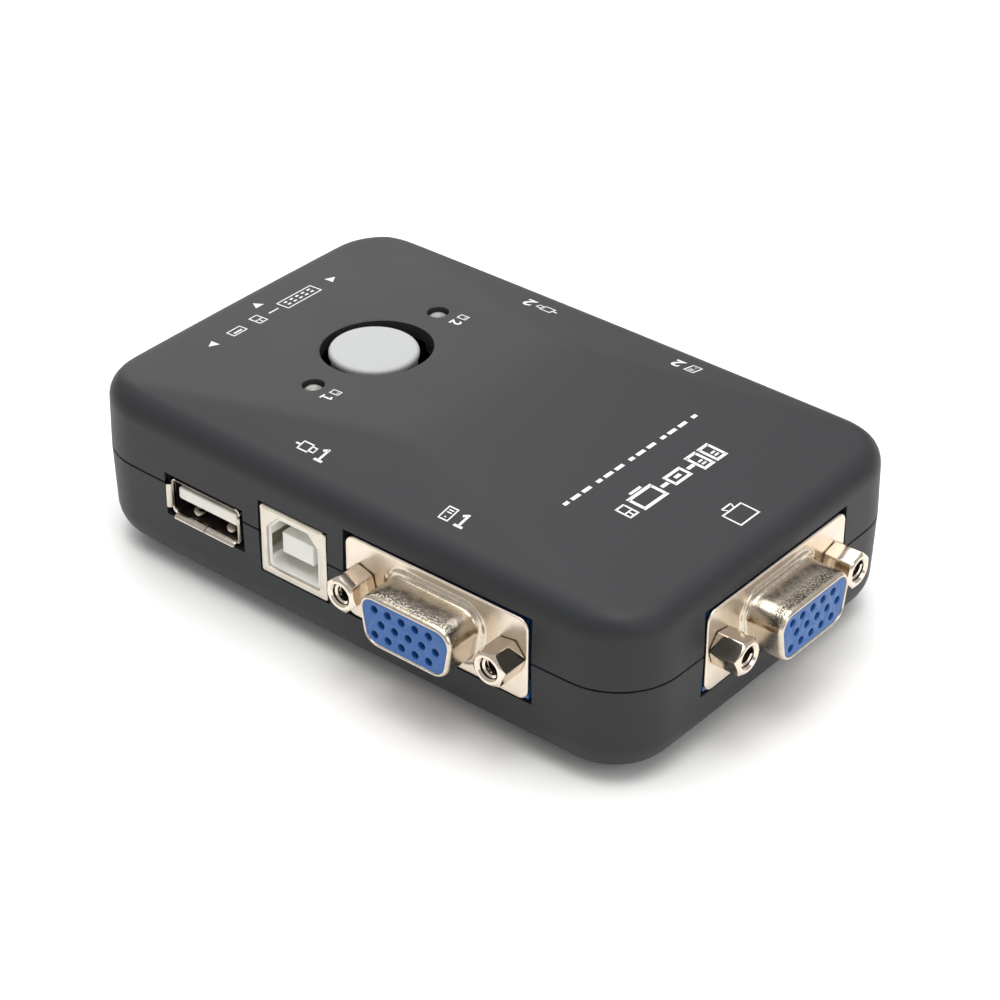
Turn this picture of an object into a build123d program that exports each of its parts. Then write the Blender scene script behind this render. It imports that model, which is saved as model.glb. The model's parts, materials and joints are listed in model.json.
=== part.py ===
from build123d import *
import math
import os

# A desktop KVM switch: two computers share one monitor, keyboard and mouse.
# Millimetres, +Z up. X runs along the case towards the monitor socket, and the table is z = 0.
# The case is symmetric about case_x, and the origin is under the middle of the whole object.

# ---------------------------------------------------------------- driving dimensions

case_length = 96.84           # at the parting line, corner to corner
case_width = 61.64
side_bulge = 0.50             # how far the middle of a long side stands out
end_bulge = 0.33              # the same for an end
case_corner = 9.4
wall = 2.0
foot_height = 1.0
case_bottom = foot_height
parting_z = 15.3
parting_gap = 0.2
rim_z = 26.0                  # top of the walls, where the roof begins
roof_rise = 2.45
roof_half_length = 44.5       # where an end slope of the roof reaches the rim
roof_half_width = 28.2
roof_side_slope = 0.2
upper_draft = 1.26            # degrees
lower_draft = 1.78
rim_fillet = 3.1
bottom_fillet = 5.3

case_x = -3.2                 # the monitor socket stands proud, so the case sits off centre

port_x = 17.0                 # VGA sockets on the long sides, from the case's middle
vga_z = 15.4
long_side_face = 31.27        # socket faces, from the case's middle
end_face = 48.77
usb_b_x = -7.95
usb_b_z = 14.4
usb_a_x = -24.7
usb_a_z = 13.6

board_top = 8.8
board_thickness = 1.6
board_length = 91.0
board_width = 56.0
board_corner = 6.5

post_x = 38.5                 # case screws
post_y = 21.0
post_radius = 3.0
foot_x = 31.0
foot_y = 18.5

button_x = -20.4
button_hole_radius = 8.1
cap_radius = 6.45
cap_offset = (-0.55, -0.05)   # the switch sits a little off the middle of its hole
cap_top = 27.15
led_y = 13.15
led_hole_radius = 1.62
switch_board_top = 18.1
switch_board_size = (18.2, 30.0)

os.makedirs("parts", exist_ok=True)


def save(part, name):
    part.label = name
    export_step(part, f"parts/{name}.step")


# ---------------------------------------------------------------- planes of the sockets

def side_plane(x, z, side):
    """A socket's face on a long side: local x to a viewer's right, local y up, normal outwards."""
    return Plane(origin=(case_x + x, side * long_side_face, z), x_dir=(-side, 0, 0), z_dir=(0, side, 0))


def end_plane(z, end):
    return Plane(origin=(case_x + end * end_face, 0, z), x_dir=(0, end, 0), z_dir=(end, 0, 0))


vga_ports = {
    "vga_near": side_plane(port_x, vga_z, -1),
    "vga_far": side_plane(port_x, vga_z, 1),
    "vga_monitor": end_plane(vga_z, 1),
}
usb_a_ports = {
    "usb_a_near": side_plane(usb_a_x, usb_a_z, -1),
    "usb_a_far": side_plane(usb_a_x, usb_a_z, 1),
    "usb_a_end": end_plane(usb_a_z, -1),
}
usb_b_ports = {
    "usb_b_near": side_plane(usb_b_x, usb_b_z, -1),
    "usb_b_far": side_plane(usb_b_x, usb_b_z, 1),
}


def board_point(port, across, out):
    """The place on the board straight below a point given across and out from a socket."""
    spot = port.from_local_coords((across, 0, out))
    return (spot.X, spot.Y)


# ---------------------------------------------------------------- case outline and roof

def case_plan(inset):
    """A face the shape of the case seen from above: a rounded rectangle with slightly bowed sides."""
    half_x = case_length / 2 - inset
    half_y = case_width / 2 - inset
    with BuildSketch() as plan:
        with BuildLine():
            ThreePointArc((-half_x, -half_y), (0, -half_y - side_bulge), (half_x, -half_y))
            ThreePointArc((half_x, -half_y), (half_x + end_bulge, 0), (half_x, half_y))
            ThreePointArc((half_x, half_y), (0, half_y + side_bulge), (-half_x, half_y))
            ThreePointArc((-half_x, half_y), (-half_x - end_bulge, 0), (-half_x, -half_y))
        make_face()
        fillet(plan.vertices(), case_corner - inset)
    return plan.sketch


def at_case(z):
    return Plane(origin=(case_x, 0, z))


def four_places(x, y):
    """The four places at plus and minus x and y about the case's middle."""
    return [(sx * x, sy * y) for sx in (-1, 1) for sy in (-1, 1)]


# The hipped rise of the roof above the rim plane, kept inside the rim's rounding.
with BuildPart() as roof_hip:
    with BuildSketch(at_case(rim_z - 0.5)):
        add(case_plan(rim_fillet))
    extrude(amount=4)
    with BuildSketch(Plane(origin=(case_x, 0, rim_z), x_dir=(1, 0, 0), z_dir=(0, -1, 0))) as end_slopes:
        with BuildLine():
            Polyline(
                (-roof_half_length, 0),
                (0, roof_rise),
                (roof_half_length, 0),
                (roof_half_length, -1),
                (-roof_half_length, -1),
                close=True,
            )
        make_face()
    extrude(amount=40, both=True, mode=Mode.INTERSECT)
    side_peak = roof_half_width * roof_side_slope
    with BuildSketch(Plane(origin=(case_x, 0, rim_z), x_dir=(0, 1, 0), z_dir=(1, 0, 0))) as side_slopes:
        with BuildLine():
            Polyline(
                (-roof_half_width, 0),
                (0, side_peak),
                (roof_half_width, 0),
                (roof_half_width, -1),
                (-roof_half_width, -1),
                close=True,
            )
        make_face()
    extrude(amount=60, both=True, mode=Mode.INTERSECT)


# ---------------------------------------------------------------- socket sizes

vga_flange = (30.81, 12.5)
vga_flange_corner = 1.6
vga_sheet = 0.5
vga_reach = 6.0               # the D-shell's length in front of its flange
vga_d_width = 16.33
vga_d_height = 7.9
vga_d_corner = 2.5
jack_spacing = 24.99
jack_flats = 4.75
jack_reach = 4.46
jack_bore_radius = 1.13       # the minor radius of the 4-40 thread
jack_bore_depth = 4.2
jack_shank_radius = 1.35
pin_pitch = 2.29
row_pitch = 1.98
row_shift = 0.57
contact_radius = 0.5
tail_half = 0.3
cutout_gap = 0.45

usb_a_inside = (12.5, 5.12)
usb_sheet = 0.3
usb_a_depth = 13.9
usb_a_recess = 0.45           # the shell's mouth sits this far behind the face
usb_a_tongue = (11.2, 1.95)
usb_a_tongue_low = -0.4       # its lower face, below the middle of the mouth
usb_a_tongue_depth = 9.4      # from the mouth back to where the tongue joins its block
usb_a_cutout = (15.0, 6.9)

usb_b_outside = (12.04, 10.9)
usb_b_mouth = (9.5, 8.45)
usb_b_cavity = (8.45, 7.78)
usb_b_block = (5.6, 3.2)
usb_b_depth = 16.0
usb_b_cavity_depth = 8.9


# Square-cornered openings for every socket, to be cut through the walls.
with BuildPart() as wall_cutouts:
    for port in vga_ports.values():
        with BuildSketch(port.offset(-8)):
            Rectangle(vga_flange[0] + 2 * cutout_gap, vga_flange[1] + 2 * cutout_gap)
        extrude(amount=12)
    for port in usb_a_ports.values():
        with BuildSketch(port.offset(-8)):
            Rectangle(*usb_a_cutout)
        extrude(amount=12)
    for port in usb_b_ports.values():
        with BuildSketch(port.offset(-8)):
            Rectangle(usb_b_outside[0] + 0.6, usb_b_outside[1] + 0.5)
        extrude(amount=12)


# ---------------------------------------------------------------- case

lip_depth = 1.2
boss_bottom = parting_z + parting_gap / 2
screw_clear_radius = 1.5
screw_pilot_radius = 1.3
head_recess_radius = 2.7
head_recess_top = case_bottom + 2.6
switch_boss_places = [(button_x - 6.3, 12.6), (button_x + 6.3, -12.6)]

with BuildPart() as top_cover:
    with BuildSketch(at_case(boss_bottom)):
        add(case_plan(0))
    extrude(amount=rim_z - boss_bottom, taper=upper_draft)
    fillet(top_cover.edges().group_by(Axis.Z)[-1], rim_fillet)
    add(roof_hip.part)
    with BuildSketch(at_case(boss_bottom - 0.1)):
        add(case_plan(wall))
    extrude(amount=rim_z - wall - boss_bottom + 0.1, taper=upper_draft, mode=Mode.SUBTRACT)
    add(roof_hip.part.moved(Location((0, 0, -wall))), mode=Mode.SUBTRACT)
    with BuildSketch(at_case(boss_bottom - lip_depth)):
        add(case_plan(wall / 2 + 0.1))
        add(case_plan(wall + 0.1), mode=Mode.SUBTRACT)
    extrude(amount=lip_depth + 0.5)
    add(wall_cutouts.part, mode=Mode.SUBTRACT)
    with BuildSketch(at_case(boss_bottom)):
        with Locations(*four_places(post_x, post_y)):
            Circle(post_radius)
    extrude(amount=rim_z - wall + 0.5 - boss_bottom)
    with BuildSketch(at_case(boss_bottom)):
        with Locations(*four_places(post_x, post_y)):
            Circle(screw_pilot_radius)
    extrude(amount=7, mode=Mode.SUBTRACT)
    with BuildSketch(at_case(switch_board_top)):
        with Locations(*switch_boss_places):
            Circle(2.4)
    extrude(amount=rim_z - switch_board_top)
    with BuildSketch(at_case(switch_board_top)):
        with Locations(*switch_boss_places):
            Circle(1.05)
    extrude(amount=5, mode=Mode.SUBTRACT)
    with BuildSketch(at_case(rim_z - wall - 1)):
        with Locations((button_x, 0)):
            Circle(button_hole_radius)
        with Locations((button_x, -led_y), (button_x, led_y)):
            Circle(led_hole_radius)
    extrude(amount=8, mode=Mode.SUBTRACT)
save(top_cover.part, "top_cover")

board_post_places = [(-37.0, -12.5), (-37.0, 12.5), (33.0, -16.0), (33.0, 16.0)]
lower_rim = parting_z - parting_gap / 2
floor_z = case_bottom + wall

with BuildPart() as bottom_cover:
    with BuildSketch(at_case(lower_rim)):
        add(case_plan(0))
    extrude(amount=-(lower_rim - case_bottom), taper=lower_draft)
    fillet(bottom_cover.edges().group_by(Axis.Z)[0], bottom_fillet)
    with BuildSketch(at_case(lower_rim)):
        add(case_plan(wall))
    extrude(amount=-(lower_rim - floor_z), taper=lower_draft, mode=Mode.SUBTRACT)
    fillet(bottom_cover.edges().filter_by(lambda e: abs(e.center().Z - floor_z) < 0.01), bottom_fillet - wall)
    with BuildSketch(at_case(lower_rim)):
        add(case_plan(wall / 2))
    extrude(amount=-(lip_depth + 0.1), mode=Mode.SUBTRACT)
    add(wall_cutouts.part, mode=Mode.SUBTRACT)
    with BuildSketch(at_case(floor_z - 0.5)):
        with Locations(*four_places(post_x, post_y)):
            Circle(post_radius)
    extrude(amount=lower_rim + parting_gap / 2 - floor_z + 0.5)
    with BuildSketch(at_case(floor_z - 0.5)):
        with Locations(*board_post_places):
            Circle(2.6)
    extrude(amount=board_top - board_thickness - floor_z + 0.5)
    with BuildSketch(at_case(case_bottom)):
        with Locations(*four_places(post_x, post_y)):
            Circle(screw_clear_radius)
    extrude(amount=lower_rim, mode=Mode.SUBTRACT)
    with BuildSketch(at_case(case_bottom)):
        with Locations(*four_places(post_x, post_y)):
            Circle(head_recess_radius)
    extrude(amount=head_recess_top - case_bottom, mode=Mode.SUBTRACT)
    with BuildSketch(at_case(board_top - board_thickness)):
        with Locations(*board_post_places):
            Circle(1.05)
    extrude(amount=-3.6, mode=Mode.SUBTRACT)
    with BuildSketch(at_case(case_bottom)):
        with Locations(*four_places(foot_x, foot_y)):
            Circle(4.7)
    extrude(amount=0.3, mode=Mode.SUBTRACT)
save(bottom_cover.part, "bottom_cover")

with BuildPart() as rubber_feet:
    with BuildSketch(at_case(0)):
        with Locations(*four_places(foot_x, foot_y)):
            Circle(4.5)
    extrude(amount=foot_height + 0.3)
    fillet(rubber_feet.edges().group_by(Axis.Z)[0], 0.4)
save(rubber_feet.part, "rubber_feet")

with BuildPart() as case_screws:
    with BuildSketch(at_case(case_bottom + 0.5)):
        with Locations(*four_places(post_x, post_y)):
            Circle(2.4)
    extrude(amount=head_recess_top - case_bottom - 0.5)
    with BuildSketch(at_case(head_recess_top)):
        with Locations(*four_places(post_x, post_y)):
            Circle(1.25)
    extrude(amount=boss_bottom + 6 - head_recess_top)
    with BuildSketch(at_case(case_bottom + 0.5)):
        with Locations(*four_places(post_x, post_y)):
            Rectangle(3.0, 0.6)
            Rectangle(0.6, 3.0)
    extrude(amount=0.9, mode=Mode.SUBTRACT)
save(case_screws.part, "case_screws")

# ---------------------------------------------------------------- VGA sockets

plate_size = (30.5, 11.9)     # the insulator's square plate behind the flange
plate_depth = 3.1
insert_gap = 0.05             # between the insert and the plate
body_end = -9.0
bracket_sheet = 0.9
tail_rows = (-10.2, -12.7, -15.2)


def d_face(grow):
    """The D outline of a VGA shell, wide side up, grown or shrunk by an amount."""
    lean = math.tan(math.radians(10))
    height = vga_d_height + 2 * grow
    top_width = vga_d_width + 2 * grow
    bottom_width = top_width - 2 * height * lean
    with BuildSketch() as face:
        with BuildLine():
            Polyline(
                (-top_width / 2, height / 2),
                (top_width / 2, height / 2),
                (bottom_width / 2, -height / 2),
                (-bottom_width / 2, -height / 2),
                close=True,
            )
        make_face()
        fillet(face.vertices(), vga_d_corner + grow)
    return face.sketch


def vga_contact_places():
    """Across and up of the fifteen contacts: five columns in three rows, the middle row set over."""
    places = []
    for row in (-1, 0, 1):
        shift = row_shift if row == 0 else -row_shift
        for column in range(-2, 3):
            places.append((column * pin_pitch + shift, row * row_pitch, tail_rows[row + 1]))
    return places


def vga_shell(port):
    with BuildPart() as shell:
        with BuildSketch(port.offset(-vga_sheet)):
            RectangleRounded(*vga_flange, vga_flange_corner)
        extrude(amount=vga_sheet)
        with BuildSketch(port):
            add(d_face(0))
        extrude(amount=vga_reach)
        outwards = Axis(port.origin, port.z_dir)
        fillet(shell.edges().group_by(outwards)[-1], 0.35)
        with BuildSketch(port.offset(-vga_sheet)):
            add(d_face(-0.45))
        extrude(amount=vga_sheet + vga_reach, mode=Mode.SUBTRACT)
        with BuildSketch(port.offset(-vga_sheet)):
            with Locations((-jack_spacing / 2, 0), (jack_spacing / 2, 0)):
                Circle(jack_shank_radius + 0.15)
        extrude(amount=vga_sheet, mode=Mode.SUBTRACT)
    return shell.part


def vga_insulator(port):
    """Two mouldings: an insert that fills the D and a plate with a body that stand behind the flange."""
    with BuildPart() as insulator:
        with BuildSketch(port.offset(-vga_sheet)):
            with Locations((0, -0.2)):
                Rectangle(*plate_size)
        extrude(amount=-plate_depth)
        with BuildSketch(port.offset(insert_gap - vga_sheet)):
            add(d_face(-0.5))
        extrude(amount=vga_sheet + vga_reach - 0.15 - insert_gap)
        with BuildSketch(port.offset(-vga_sheet - plate_depth)):
            with Locations((0, -0.8)):
                Rectangle(17.6, 11.6)
        extrude(amount=body_end + vga_sheet + plate_depth)
        with BuildSketch(port.offset(body_end)):
            for across, up, _ in vga_contact_places():
                with Locations((across, up)):
                    Circle(contact_radius + 0.1)
        extrude(amount=vga_reach - body_end, mode=Mode.SUBTRACT)
        with BuildSketch(port.offset(-vga_sheet)):
            with Locations((-jack_spacing / 2, 0), (jack_spacing / 2, 0)):
                Circle(jack_shank_radius + 0.15)
        extrude(amount=-plate_depth, mode=Mode.SUBTRACT)
    return insulator.part


def vga_contacts(port):
    """Round sockets in the insulator, each with a square tail that turns down through the board."""
    below_board = board_top - board_thickness - 1.0 - vga_z
    with BuildPart() as contacts:
        for across, up, tail in vga_contact_places():
            with BuildSketch(port.offset(body_end + 0.2)):
                with Locations((across, up)):
                    Circle(contact_radius)
            extrude(amount=vga_reach - 1.2 - body_end)
            with BuildSketch(port.offset(vga_reach - 1.0)):
                with Locations((across, up)):
                    Circle(0.3)
            extrude(amount=-4, mode=Mode.SUBTRACT)
            with BuildSketch(port.offset(tail - tail_half)):
                with Locations((across, up)):
                    Rectangle(2 * tail_half, 2 * tail_half)
            extrude(amount=body_end + 0.3 - tail + tail_half)
            with BuildSketch(port.offset(tail - tail_half)):
                with Locations((across, (up + tail_half + below_board) / 2)):
                    Rectangle(2 * tail_half, up + tail_half - below_board)
            extrude(amount=2 * tail_half)
    return contacts.part


def vga_jackscrews(port):
    with BuildPart() as jackscrews:
        with BuildSketch(port):
            with Locations((-jack_spacing / 2, 0), (jack_spacing / 2, 0)):
                RegularPolygon(jack_flats / 2, 6, major_radius=False, rotation=30)
        extrude(amount=jack_reach)
        with BuildSketch(port):
            with Locations((-jack_spacing / 2, 0), (jack_spacing / 2, 0)):
                Circle(jack_flats / 2 + 0.16)
        extrude(amount=jack_reach, mode=Mode.INTERSECT)
        with BuildSketch(port):
            with Locations((-jack_spacing / 2, 0), (jack_spacing / 2, 0)):
                Circle(jack_shank_radius)
        extrude(amount=-(vga_sheet + plate_depth + bracket_sheet + 1.0))
        with BuildSketch(port.offset(jack_reach)):
            with Locations((-jack_spacing / 2, 0), (jack_spacing / 2, 0)):
                Circle(jack_bore_radius)
        extrude(amount=-jack_bore_depth, mode=Mode.SUBTRACT)
        mouths = jackscrews.edges().filter_by(GeomType.CIRCLE)
        mouths = mouths.filter_by(lambda e: abs(e.radius - jack_bore_radius) < 0.01)
        chamfer(mouths.group_by(Axis(port.origin, port.z_dir))[-1], 0.25)
    return jackscrews.part


def vga_brackets(port):
    """Steel angles behind the ears: an upright with the screw's hole, and a foot on the board."""
    behind = -(vga_sheet + plate_depth)
    foot_up = board_top - vga_z
    with BuildPart() as brackets:
        with BuildSketch(port.offset(behind)):
            for side in (-1, 1):
                with Locations((side * jack_spacing / 2, (foot_up + 4) / 2)):
                    Rectangle(5.6, 4 - foot_up)
        extrude(amount=-bracket_sheet)
        with BuildSketch(port.offset(behind)):
            for side in (-1, 1):
                with Locations((side * jack_spacing / 2, foot_up + bracket_sheet / 2)):
                    Rectangle(5.6, bracket_sheet)
        extrude(amount=-8.0)
        with BuildSketch(port.offset(behind - 6.5)):
            for side in (-1, 1):
                with Locations((side * jack_spacing / 2, foot_up - 1.2)):
                    Rectangle(2.0, 2.6)
        extrude(amount=1.0)
        with BuildSketch(port.offset(behind)):
            with Locations((-jack_spacing / 2, 0), (jack_spacing / 2, 0)):
                Circle(jack_shank_radius + 0.05)
        extrude(amount=-bracket_sheet, mode=Mode.SUBTRACT)
    return brackets.part


board_holes = []              # x, y and radius of every hole for a tail or a leg

for name, port in vga_ports.items():
    save(vga_shell(port), f"{name}_shell")
    save(vga_insulator(port), f"{name}_insulator")
    save(vga_contacts(port), f"{name}_contacts")
    save(vga_jackscrews(port), f"{name}_jackscrews")
    save(vga_brackets(port), f"{name}_brackets")
    for across, _, tail in vga_contact_places():
        board_holes.append((*board_point(port, across, tail), 0.5))
    for side in (-1, 1):
        leg = board_point(port, side * jack_spacing / 2, -vga_sheet - plate_depth - 6.0)
        board_holes.append((*leg, 1.25))


# ---------------------------------------------------------------- USB-A sockets

usb_a_tails = [(-3.5, -15.6), (-1.0, -17.6), (1.0, -15.6), (3.5, -17.6)]
usb_a_strips = (-3.5, -1.0, 1.0, 3.5)
usb_a_leg_out = -9.0
strip_half = 0.5
strip_sheet = 0.25
lip_reach = 0.75
lip_flare = 0.85


def usb_a_shell(port):
    half_w = usb_a_inside[0] / 2
    half_h = usb_a_inside[1] / 2
    outer = (usb_a_inside[0] + 2 * usb_sheet, usb_a_inside[1] + 2 * usb_sheet)
    mouth = port.offset(-usb_a_recess)
    across = Plane(origin=mouth.origin, x_dir=mouth.z_dir, z_dir=mouth.x_dir)
    upright = Plane(origin=mouth.origin, x_dir=mouth.z_dir, z_dir=mouth.y_dir)
    with BuildPart() as shell:
        with BuildSketch(mouth):
            RectangleRounded(*outer, 0.9)
            RectangleRounded(*usb_a_inside, 0.6, mode=Mode.SUBTRACT)
        extrude(amount=-usb_a_depth)
        for side in (-1, 1):
            # lips above and below, then the two at the ends
            with BuildSketch(across):
                with BuildLine():
                    Polyline(
                        (-0.3, -side * half_h),
                        (-0.3, -side * (half_h + usb_sheet)),
                        (lip_reach - 0.2, -side * (half_h + lip_flare)),
                        (lip_reach, -side * (half_h + lip_flare - 0.25)),
                        (0.0, -side * half_h),
                        close=True,
                    )
                make_face()
            extrude(amount=5.7, both=True)
            with BuildSketch(upright):
                with BuildLine():
                    Polyline(
                        (-0.3, -side * half_w),
                        (-0.3, -side * (half_w + usb_sheet)),
                        (lip_reach - 0.2, -side * (half_w + lip_flare)),
                        (lip_reach, -side * (half_w + lip_flare - 0.25)),
                        (0.0, -side * half_w),
                        close=True,
                    )
                make_face()
            extrude(amount=1.9, both=True)
            # a leg down to the board from each side wall
            with BuildSketch(port.offset(usb_a_leg_out - 1.0)):
                leg_bottom = board_top - board_thickness - 0.8 - usb_a_z
                with Locations((side * (half_w + usb_sheet / 2), leg_bottom / 2)):
                    Rectangle(usb_sheet, -leg_bottom)
            extrude(amount=2.0)
        # two sprung fingers rise from the floor and two hang from the roof
        for up in (-1, 1):
            for place in (-3.2, 3.2):
                rib = Plane(origin=across.origin + port.x_dir * place, x_dir=across.x_dir, z_dir=across.z_dir)
                with BuildSketch(rib):
                    with BuildLine():
                        Polyline(
                            (-8.0, -up * (half_h + 0.1)),
                            (-2.6, -up * (half_h - 0.32)),
                            (-1.6, -up * (half_h - 0.05)),
                            (-1.6, -up * (half_h + 0.1)),
                            close=True,
                        )
                    make_face()
                extrude(amount=1.0, both=True)
    return shell.part


def usb_a_insulator(port):
    """A tongue in the upper half of the mouth, on a block that fills the back and stands on the board."""
    to_board = usb_a_z - board_top
    with BuildPart() as insulator:
        with BuildSketch(port.offset(-usb_a_recess - usb_a_tongue_depth)):
            with Locations((0, usb_a_tongue_low + usb_a_tongue[1] / 2)):
                RectangleRounded(*usb_a_tongue, 0.45)
        extrude(amount=usb_a_tongue_depth - 0.4)
        with BuildSketch(port.offset(-usb_a_recess - usb_a_tongue_depth)):
            RectangleRounded(usb_a_inside[0] - 0.2, usb_a_inside[1] - 0.2, 0.55)
        extrude(amount=-(usb_a_depth - usb_a_tongue_depth))
        with BuildSketch(port.offset(-usb_a_recess - usb_a_depth)):
            with Locations((0, (usb_a_inside[1] / 2 - to_board) / 2)):
                Rectangle(usb_a_inside[0] - 0.2, usb_a_inside[1] / 2 + to_board)
        extrude(amount=-0.9)
        with BuildSketch(port.offset(-usb_a_recess - usb_a_depth - 0.1)):
            shell_bottom = usb_a_inside[1] / 2 + usb_sheet
            with Locations((0, -(shell_bottom + to_board) / 2 - 0.01)):
                Rectangle(usb_a_inside[0] - 1.4, to_board - shell_bottom - 0.02)
        extrude(amount=9.5)
        with BuildSketch(port.offset(-usb_a_recess - usb_a_depth - 2)):
            with Locations(*[(place, usb_a_tongue_low - strip_sheet / 2) for place in usb_a_strips]):
                Rectangle(2 * strip_half + 0.1, strip_sheet + 0.1)
        extrude(amount=usb_a_depth + 0.6, mode=Mode.SUBTRACT)
        fillet(insulator.edges().group_by(Axis(port.origin, port.z_dir))[-1], 0.3)
    return insulator.part


def usb_a_contacts(port):
    below_board = board_top - board_thickness - 1.0 - usb_a_z
    front = -usb_a_recess - 1.6
    with BuildPart() as contacts:
        for place, (tail_across, tail) in zip(usb_a_strips, usb_a_tails):
            with BuildSketch(port.offset(tail)):
                with Locations((place, usb_a_tongue_low - strip_sheet / 2)):
                    Rectangle(2 * strip_half, strip_sheet)
            extrude(amount=front - tail)
            with BuildSketch(port.offset(tail - strip_sheet)):
                with Locations((tail_across, below_board / 2)):
                    Rectangle(0.8, -below_board)
            extrude(amount=strip_sheet)
    return contacts.part


for name, port in usb_a_ports.items():
    save(usb_a_shell(port), f"{name}_shell")
    save(usb_a_insulator(port), f"{name}_tongue")
    save(usb_a_contacts(port), f"{name}_contacts")
    for tail_across, tail in usb_a_tails:
        board_holes.append((*board_point(port, tail_across, tail - strip_sheet / 2), 0.5))
    for side in (-1, 1):
        leg_across = side * (usb_a_inside[0] + usb_sheet) / 2
        board_holes.append((*board_point(port, leg_across, usb_a_leg_out), 1.2))


# ---------------------------------------------------------------- USB-B sockets

usb_b_tails = [(-1.25, -17.0), (1.25, -17.0), (1.25, -18.8), (-1.25, -18.8)]
usb_b_leg_out = -10.0


def shouldered_face(width, height, shoulder):
    """A rectangle with its two upper corners cut off, as a USB-B mouth has."""
    with BuildSketch() as face:
        with BuildLine():
            Polyline(
                (-width / 2, -height / 2),
                (width / 2, -height / 2),
                (width / 2, height / 2 - shoulder),
                (width / 2 - shoulder, height / 2),
                (-width / 2 + shoulder, height / 2),
                (-width / 2, height / 2 - shoulder),
                close=True,
            )
        make_face()
        fillet(face.vertices(), 0.45)
    return face.sketch


def usb_b_shell(port):
    inner = (usb_b_outside[0] - 2 * usb_sheet, usb_b_outside[1] - 2 * usb_sheet)
    with BuildPart() as shell:
        with BuildSketch(port):
            RectangleRounded(*usb_b_outside, 0.6)
        extrude(amount=-usb_b_depth)
        with BuildSketch(port.offset(-usb_sheet)):
            RectangleRounded(*inner, 0.3)
        extrude(amount=-usb_b_depth, mode=Mode.SUBTRACT)
        with BuildSketch(port):
            add(shouldered_face(*usb_b_mouth, 2.1))
        extrude(amount=-1, mode=Mode.SUBTRACT)
        for side in (-1, 1):
            leg_bottom = board_top - board_thickness - 0.8 - usb_b_z
            with BuildSketch(port.offset(usb_b_leg_out - 1.0)):
                with Locations((side * (usb_b_outside[0] - usb_sheet) / 2, leg_bottom / 2)):
                    Rectangle(usb_sheet, -leg_bottom)
            extrude(amount=2.0)
    return shell.part


def usb_b_insulator(port):
    inner = (usb_b_outside[0] - 2 * usb_sheet - 0.1, usb_b_outside[1] - 2 * usb_sheet - 0.1)
    mouth = -usb_sheet - 0.05
    with BuildPart() as insulator:
        with BuildSketch(port.offset(mouth)):
            RectangleRounded(*inner, 0.3)
        extrude(amount=-(usb_b_depth + mouth))
        with BuildSketch(port.offset(mouth)):
            add(shouldered_face(*usb_b_cavity, 1.7))
            Rectangle(*usb_b_block, mode=Mode.SUBTRACT)
        extrude(amount=-usb_b_cavity_depth, mode=Mode.SUBTRACT)
        with BuildSketch(port.offset(mouth)):
            Rectangle(*usb_b_block)
        extrude(amount=-0.7, mode=Mode.SUBTRACT)
        for up in (-1, 1):
            with BuildSketch(port.offset(mouth)):
                with Locations(*[(side * 1.25, up * (usb_b_block[1] / 2 - 0.15)) for side in (-1, 1)]):
                    Rectangle(2 * strip_half + 0.1, 0.32)
            extrude(amount=-usb_b_depth, mode=Mode.SUBTRACT)
    return insulator.part


def usb_b_contacts(port):
    below_board = board_top - board_thickness - 1.0 - usb_b_z
    with BuildPart() as contacts:
        for index, (place, tail) in enumerate(usb_b_tails):
            up = (-1 if index < 2 else 1) * (usb_b_block[1] / 2 - 0.15)
            with BuildSketch(port.offset(tail)):
                with Locations((place, up)):
                    Rectangle(2 * strip_half, strip_sheet)
            extrude(amount=-usb_sheet - 2.0 - tail)
            with BuildSketch(port.offset(tail - strip_sheet)):
                with Locations((place, (up + strip_sheet / 2 + below_board) / 2)):
                    Rectangle(0.8, up + strip_sheet / 2 - below_board)
            extrude(amount=strip_sheet)
    return contacts.part


for name, port in usb_b_ports.items():
    save(usb_b_shell(port), f"{name}_shell")
    save(usb_b_insulator(port), f"{name}_insulator")
    save(usb_b_contacts(port), f"{name}_contacts")
    for place, tail in usb_b_tails:
        board_holes.append((*board_point(port, place, tail - strip_sheet / 2), 0.5))
    for side in (-1, 1):
        leg_across = side * (usb_b_outside[0] - usb_sheet) / 2
        board_holes.append((*board_point(port, leg_across, usb_b_leg_out), 1.2))


# ---------------------------------------------------------------- push button and its switch

switch_x = case_x + button_x + cap_offset[0]
switch_y = cap_offset[1]
switch_side = 12.0
switch_body_height = 3.2
cover_sheet = 0.3
plunger_radius = 3.2
plunger_foot = 2.1            # heights above the switch board
plunger_shoulder = 4.3
plunger_top = 7.3
plunger_square = 3.8
cap_plate = 1.8
cap_skirt = 3.2
terminal_places = [(sx * 6.25, sy * 2.5) for sx in (-1, 1) for sy in (-1, 1)]


def at_switch(height):
    return Plane(origin=(switch_x, switch_y, switch_board_top + height))


with BuildPart() as button_cap:
    with BuildSketch(Plane(origin=(switch_x, switch_y, cap_top))):
        Circle(cap_radius)
    extrude(amount=-cap_skirt)
    fillet(button_cap.edges().group_by(Axis.Z)[-1], 0.35)
    with BuildSketch(Plane(origin=(switch_x, switch_y, cap_top - cap_plate))):
        Circle(cap_radius - 1.2)
        Circle(plunger_radius, mode=Mode.SUBTRACT)
    extrude(amount=-cap_skirt, mode=Mode.SUBTRACT)
    with BuildSketch(Plane(origin=(switch_x, switch_y, cap_top - cap_skirt))):
        Circle(plunger_radius)
    extrude(amount=-1.3)
    with BuildSketch(at_switch(plunger_top)):
        Rectangle(plunger_square + 0.04, plunger_square + 0.04)
    extrude(amount=-5, mode=Mode.SUBTRACT)
save(button_cap.part, "button_cap")

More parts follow.
